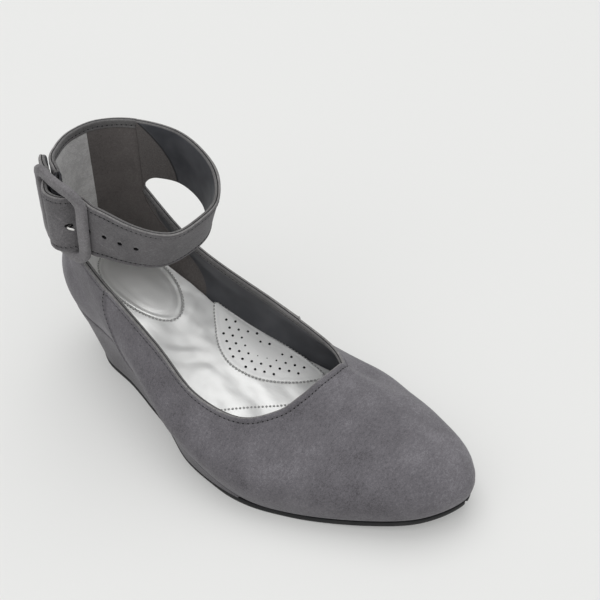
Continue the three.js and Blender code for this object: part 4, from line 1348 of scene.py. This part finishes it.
def elastic_rings():
    start = elastic_start
    route = [(start, ply_middle + ply_apart / 2), (start * 0.8, ply_middle + ply_apart / 2 + 0.7),
             (start * 0.5, middle_stand * 0.55 + 0.6), (start * 0.25, middle_stand + elastic_round - 1.1)]
    route += [(math.cos(a) * elastic_round, middle_stand + math.sin(a) * elastic_round)
              for a in np.radians(100 - 200 * np.arange(9) / 8)]
    route += [(start * 0.35, middle_stand * 0.25 - 0.9), (start * 0.7, ply_middle - ply_apart / 2 + 0.15),
              (start, ply_middle - ply_apart / 2)]
    route = smooth_route(route, 46)
    step = unit(np.gradient(route, axis=0))
    heights = np.linspace(-elastic_width / 2, elastic_width / 2, rib_count * 6 + 1)
    rib = 0.12 * np.cos(np.linspace(0, 2 * np.pi * rib_count, len(heights)))
    rings = []
    for (d, out), (along, up) in zip(route, step):
        half_out = elastic_thickness / 2 - 0.12 + rib
        outer = off_loop(d - up * half_out, heights, out + along * half_out)
        inner = off_loop(d + up * half_out, heights, out - along * half_out)
        rings.append(np.vstack([outer, inner[::-1]]))
    return rings


elastic = loft("elastic_ribbed", elastic_rings(), elastic_finish)
belongs(elastic, "webbing", "elastic")


# %% [markdown]
# The bottom pieces are lofts from the heel to the toe. At each share of the length a cross-section stands
# between the two feather edges, and a section's corner is an inset from that edge, a height, and a share of
# the heel's undercut, which draws the back of the wedge forward on its way down.

# %% Outsole and covered wedge
outsole_inset, heel_inset, heel_undercut, undercut_end = 1.0, 6.0, 12.0, 0.3
wedge_inset, arch_relief, wedge_nose, insole_thickness = 1.2, 1.6, 1.5, 3.5


def row_where(along, heel_row):
    """The feather edge's row at a share of the length, on the outer side (0) or the inner one."""
    near, far = np.full(np.shape(along), float(heel_row)), np.full(np.shape(along), float(TOE))
    for _ in range(40):
        middle = (near + far) / 2
        below = feather["along"](middle) < along
        near, far = np.where(below, middle, near), np.where(below, far, middle)
    return near


heel_end, toe_end = float(feather["along"](0.05)), float(feather["along"](TOE - 0.05))


def tread_height(along):
    return toe_spring * np.maximum(0, toe_share(along)) + arch_relief * np.maximum(0, arch_share(along))


def tread_inset(along):
    return outsole_inset + (heel_inset - outsole_inset) * np.maximum(0, heel_share(along))


def bottom_rings(start, end, steps, corners):
    """corners(along) gives the insets, heights and undercut shares of a section's corners, top to bottom."""
    along = start + (end - start) * (1 - np.cos(np.linspace(0, np.pi, steps + 1))) / 2
    sides = []
    for heel_row in (0, STATIONS):
        t = row_where(along, heel_row)
        inset, _, undercut = corners(along)
        p = foot(t)[:, None] - outward(foot, t)[:, None] * inset[..., None]
        own = -p[..., 1] / shoe_length
        height = np.stack([corners(own[:, k])[1][:, k] for k in range(inset.shape[1])], 1)
        p[..., 2] = height
        p[..., 1] -= undercut * heel_undercut * np.maximum(0, 1 - along / undercut_end)[:, None]
        sides.append(p)
    return np.concatenate([sides[0], sides[1][:, ::-1]], 1)


def corner_arrays(rows):
    shape = np.broadcast_shapes(*(np.shape(v) for row in rows for v in row))
    return [np.stack([np.broadcast_to(row[k], shape) for row in rows], -1) for k in range(3)]


def outsole_corners(along):
    inset, top_face, tread = tread_inset(along), outsole_top(along), tread_height(along)
    return corner_arrays([
        (inset + 1.2, top_face, 1), (inset + 0.3, top_face - 0.08, 1), (inset, top_face - 0.45, 1),
        (inset - 0.05, top_face - 1.2, 1), (inset, tread + 0.9, 1), (inset + 0.15, tread + 0.35, 1),
        (inset + 0.55, tread + 0.05, 1), (inset + 1.3, tread, 1), (inset + 2.6, tread, 1),
    ])


def wedge_corners(along):
    base = outsole_top(along) + joint_gap
    rise = np.maximum(heel_height * heel_share(along) - joint_gap, 0.2)

    def inset(share):
        return wedge_inset + (tread_inset(along) - wedge_inset) * share

    shares = [(1.0, -1.2, 0.0), (0.995, 0.0, 0.0), (0.94, 0.0, 0.02), (0.82, 0.2, 0.09), (0.7, 0.42, 0.2),
              (0.52, 0.62, 0.37), (0.35, 0.78, 0.55), (0.18, 0.9, 0.77), (0.05, 0.98, 0.95), (0.0, 1.0, 1.0)]
    rows = [(inset(max(side, 0)) + (1.2 if side < 0 else 0), base + rise * level, cut)
            for level, side, cut in shares]
    return corner_arrays(rows + [(inset(1) + 0.8, base, 1)])


outsole = loft("outsole_rubber", bottom_rings(heel_end, toe_end, 150, outsole_corners), rubber)
belongs(outsole, "rubber", "outsole")
nose_end = undercut_end
while heel_height * float(heel_share(nose_end)) - joint_gap > wedge_nose:
    nose_end += 0.002
wedge = loft("wedge_suede_cover", bottom_rings(heel_end, nose_end, 110, wedge_corners), wedge_suede)
belongs(wedge, "wedge_cover", "wedge")

# %% [markdown]
# The insole's silver sock is what the eye meets first. Its surface is a height above the last's bottom: it
# rises a little at its sides, and soft wrinkles run where the cloth is drawn between the two pads. Each
# wrinkle is placed from one point to another, in millimetres from the heel's back.

# %% The sock's surface
sock_gap = wall_thickness + 0.5
sock_along = heel_end + (toe_end - heel_end) * (1 - np.cos(np.linspace(0, np.pi, 261))) / 2
sock_sides = []
for heel_row in (0, STATIONS):
    sock_rows = row_where(sock_along, heel_row)
    sock_sides.append(foot(sock_rows) - outward(foot, sock_rows) * sock_gap)
sock_outer, sock_inner = sock_sides

WRINKLES = table("x1 y1 x2 y2 width depth", [
    (4, -71, 15, -68, 2.0, 0.55), (6, -76, 17, -75, 2.2, -0.5), (2, -80, 12, -79, 2.0, 0.35),
    (-16, -72, -2, -84, 2.6, -0.5), (-20, -82, -5, -95, 3.0, -0.45), (-17, -77, -4, -89, 2.2, 0.35),
    (-24, -98, -6, -104, 3.2, -0.35), (-14, -108, 0, -119, 3.0, -0.35), (-26, -110, -18, -116, 2.6, 0.3),
    (14, -58, 24, -66, 2.4, -0.4), (-14, -60, -20, -72, 2.6, 0.35), (18, -60, 24, -72, 2.0, 0.3),
    (-8, -132, 8, -145, 3.0, -0.3), (10, -146, 22, -152, 3.0, -0.3), (-18, -46, -17, -60, 2.0, -0.35),
])


def sock_height(x, y):
    """The sock's height at a place on it, with its cupped sides and its wrinkles."""
    x, y = np.asarray(x, float), np.asarray(y, float)
    order = np.argsort(-sock_outer[:, 1])
    low = np.interp(-y, -sock_outer[order, 1], sock_outer[order, 0])
    order = np.argsort(-sock_inner[:, 1])
    high = np.interp(-y, -sock_inner[order, 1], sock_inner[order, 0])
    across = np.clip(2 * (x - low) / np.maximum(high - low, 1) - 1, -1, 1)
    base = feather_height(-y / shoe_length) + wall_thickness + 2 * joint_gap + insole_thickness
    base = base + 1.3 * abs(across) ** 5 - 0.5 * (1 - across ** 2)
    flat = np.stack([x, y], -1)
    wrinkle_columns = [WRINKLES[name] for name in ("x1", "y1", "x2", "y2", "width", "depth")]
    for x1, y1, x2, y2, width, depth in zip(*wrinkle_columns):
        base = base + depth * crease(flat, (x1, y1), (x2, y2), width)
    return base


def sock_solid():
    share = np.concatenate([[0], (1 - np.cos(np.linspace(0.12, np.pi - 0.12, 70))) / 2, [1]])
    share = share[None, :, None]
    flat = sock_outer[:, None, :2] * (1 - share) + sock_inner[:, None, :2] * share
    top_face = points(flat[..., 0], flat[..., 1], sock_height(flat[..., 0], flat[..., 1]))
    under = flat[:, [-1, -8, 7, 0]]
    floor = feather_height(-under[..., 1] / shoe_length) + wall_thickness + 2 * joint_gap
    return np.concatenate([top_face, points(under[..., 0], under[..., 1], floor)], 1)


sock = loft("insole_sock", sock_solid(), sock_silver)
belongs(sock, "sock", "insole")

# %% [markdown]
# Two padded patches are sewn on the sock: an oval under the heel, left bare, and a crescent under the arch
# with rows of small holes. A patch is a grid of rings from its outline to its middle, laid on the sock's own
# surface, so it can't float or sink. Its edge has a row of tiny loops, which is the same sewing tree again.

# %% Heel pad and arch pad
def ellipse(centre, half_wide, half_long, tilt, count=150):
    angles = np.linspace(0, 2 * np.pi, count, endpoint=False)
    x, y = np.cos(angles) * half_wide, np.sin(angles) * half_long
    c, s = math.cos(math.radians(tilt)), math.sin(math.radians(tilt))
    return np.stack([centre[0] + x * c - y * s, centre[1] + x * s + y * c], 1)


def smooth_outline(corners, count=150):
    corners = np.asarray(corners, float)
    rows = np.linspace(0, len(corners), count, endpoint=False)
    return np.stack([column(corners[:, k], True)(rows) for k in (0, 1)], 1)


heel_outline = ellipse((4.6, -38.5), 15.5, 29.0, -9)
ARCH_CORNERS = [(21.6, -74.5), (12.6, -82.5), (4.6, -91.5), (0.6, -101.5), (1.8, -111.5), (5.8, -120),
                (13, -128.5), (21.4, -135.5), (29.2, -139.5), (30.2, -130.5), (29.6, -122.0),
                (28.2, -112.5), (26.4, -101.5), (24.8, -90), (23.4, -80.5)]
arch_outline = smooth_outline(ARCH_CORNERS)
PAD_PROFILE = [(0.0, 0.05), (0.0, 0.75), (0.6, 1.0), (1.4, 1.05), (2.4, 0.88), (3.6, 0.95), (5.5, 1.15)]


def patch(name, outline, height, finish):
    """A raised patch on the sock. PAD_PROFILE holds distances in from its edge and shares of its height."""
    middle = outline.mean(0)
    inwards = unit(middle - outline)
    room = np.linalg.norm(middle - outline, axis=1)
    rings = []
    for inset, share in PAD_PROFILE:
        flat = outline + inwards * np.minimum(inset, room * 0.6)[:, None]
        rings.append(points(flat[:, 0], flat[:, 1], sock_height(flat[:, 0], flat[:, 1]) + height * share))
    edge = outline + inwards * np.minimum(PAD_PROFILE[-1][0], room * 0.6)[:, None]
    for share in np.linspace(0, 1, 16)[1:-1]:
        flat = edge + (middle - edge) * share
        crown = height * (1.15 + 0.35 * smooth_step(share, 0, 0.8))
        rings.append(points(flat[:, 0], flat[:, 1], sock_height(flat[:, 0], flat[:, 1]) + crown))
    under = outline + inwards * 0.4
    rings.insert(0, points(under[:, 0], under[:, 1], sock_height(under[:, 0], under[:, 1]) - 0.4))
    piece = loft(name, rings, finish)
    belongs(piece, "sock")


pad_height = 0.9
# The heel pad's tint is partly painted shade, and the arch pad's is painted light.
patch("heel_pad", heel_outline, pad_height, heel_silver_lettering_and_shade)
patch("arch_pad", arch_outline, pad_height, arch_silver_painted_lit)


def on_sock(flat, lift=0.0):
    flat = np.asarray(flat, float)
    return points(flat[:, 0], flat[:, 1], sock_height(flat[:, 0], flat[:, 1]) + lift)


def sock_normals(flat, reach=0.5):
    flat = np.asarray(flat, float)
    dx = sock_height(flat[:, 0] + reach, flat[:, 1]) - sock_height(flat[:, 0] - reach, flat[:, 1])
    dy = sock_height(flat[:, 0], flat[:, 1] + reach) - sock_height(flat[:, 0], flat[:, 1] - reach)
    return unit(np.stack([-dx / (2 * reach), -dy / (2 * reach), np.ones(len(flat))], -1))


def inset_outline(outline, inset):
    return outline + unit(outline.mean(0) - outline) * inset


picot_paths = []
for outline in (heel_outline, arch_outline):
    picot_paths.append((on_sock(inset_outline(outline, -0.1), 0.55), sock_normals(outline), True))
FRONT_SEAM = [(-26.5, -114.8), (-21, -118.2), (-12, -124.8), (-4.5, -130.8), (2.8, -136.4), (10.5, -141),
              (19, -144.6)]
front_seam = smooth_route(FRONT_SEAM, 60)
sew("sock_picot", picot_paths, 1.9, (0.75, 0.62, 0.3), (0, 0, 0), silver_thread, "sock")
sew("sock_front_seam", [(on_sock(front_seam, 0.1), sock_normals(front_seam), False)], 1.9, (0.7, 0.6, 0.3),
    (0, 0, 0), silver_thread, "sock")

# %% [markdown]
# The arch pad's holes stand in staggered rows. A short loop lays the grid and keeps the places that fall
# inside the crescent, away from its edge.

# %% Perforations of the arch pad
perforation_step, perforation_edge = 4.7, 3.0


def inside_outline(place, outline):
    """Whether a place lies inside a closed outline, by counting its crossings."""
    x, y = place
    (x1, y1), (x2, y2) = outline.T, np.roll(outline, -1, 0).T
    crosses = ((y1 > y) != (y2 > y)) & (x < (x2 - x1) * (y - y1) / np.where(y2 == y1, 1, y2 - y1) + x1)
    return crosses.sum() % 2 == 1


def perforations():
    places = []
    for row in range(14):
        for step in range(8):
            across = 2.0 + (step + 0.5 * (row % 2)) * perforation_step
            place = np.array([across, -80.5 - row * perforation_step * 0.87])
            edge = np.linalg.norm(arch_outline - place, axis=1).min()
            if inside_outline(place, arch_outline) and edge > perforation_edge:
                places.append(place)
    return np.array(places)


hole_places = perforations()
print(len(hole_places), "perforations")


def perforation_beads():
    """Two points for each hole, so that the sewing tree sets one bead at each: a flat near-black disc,
    painted shade standing in for the hole.
    """
    gap = 0.05
    paths = [(on_sock([p, p + [gap, 0]], pad_height * 1.28), sock_normals([p, p + [gap, 0]]), False)
             for p in hole_places]
    return sew("arch_pad_holes", paths, 1.0, (0.72, 0.72, 0.16), (0, 0, 0), painted_recess_shade, "sock")


perforation_beads()
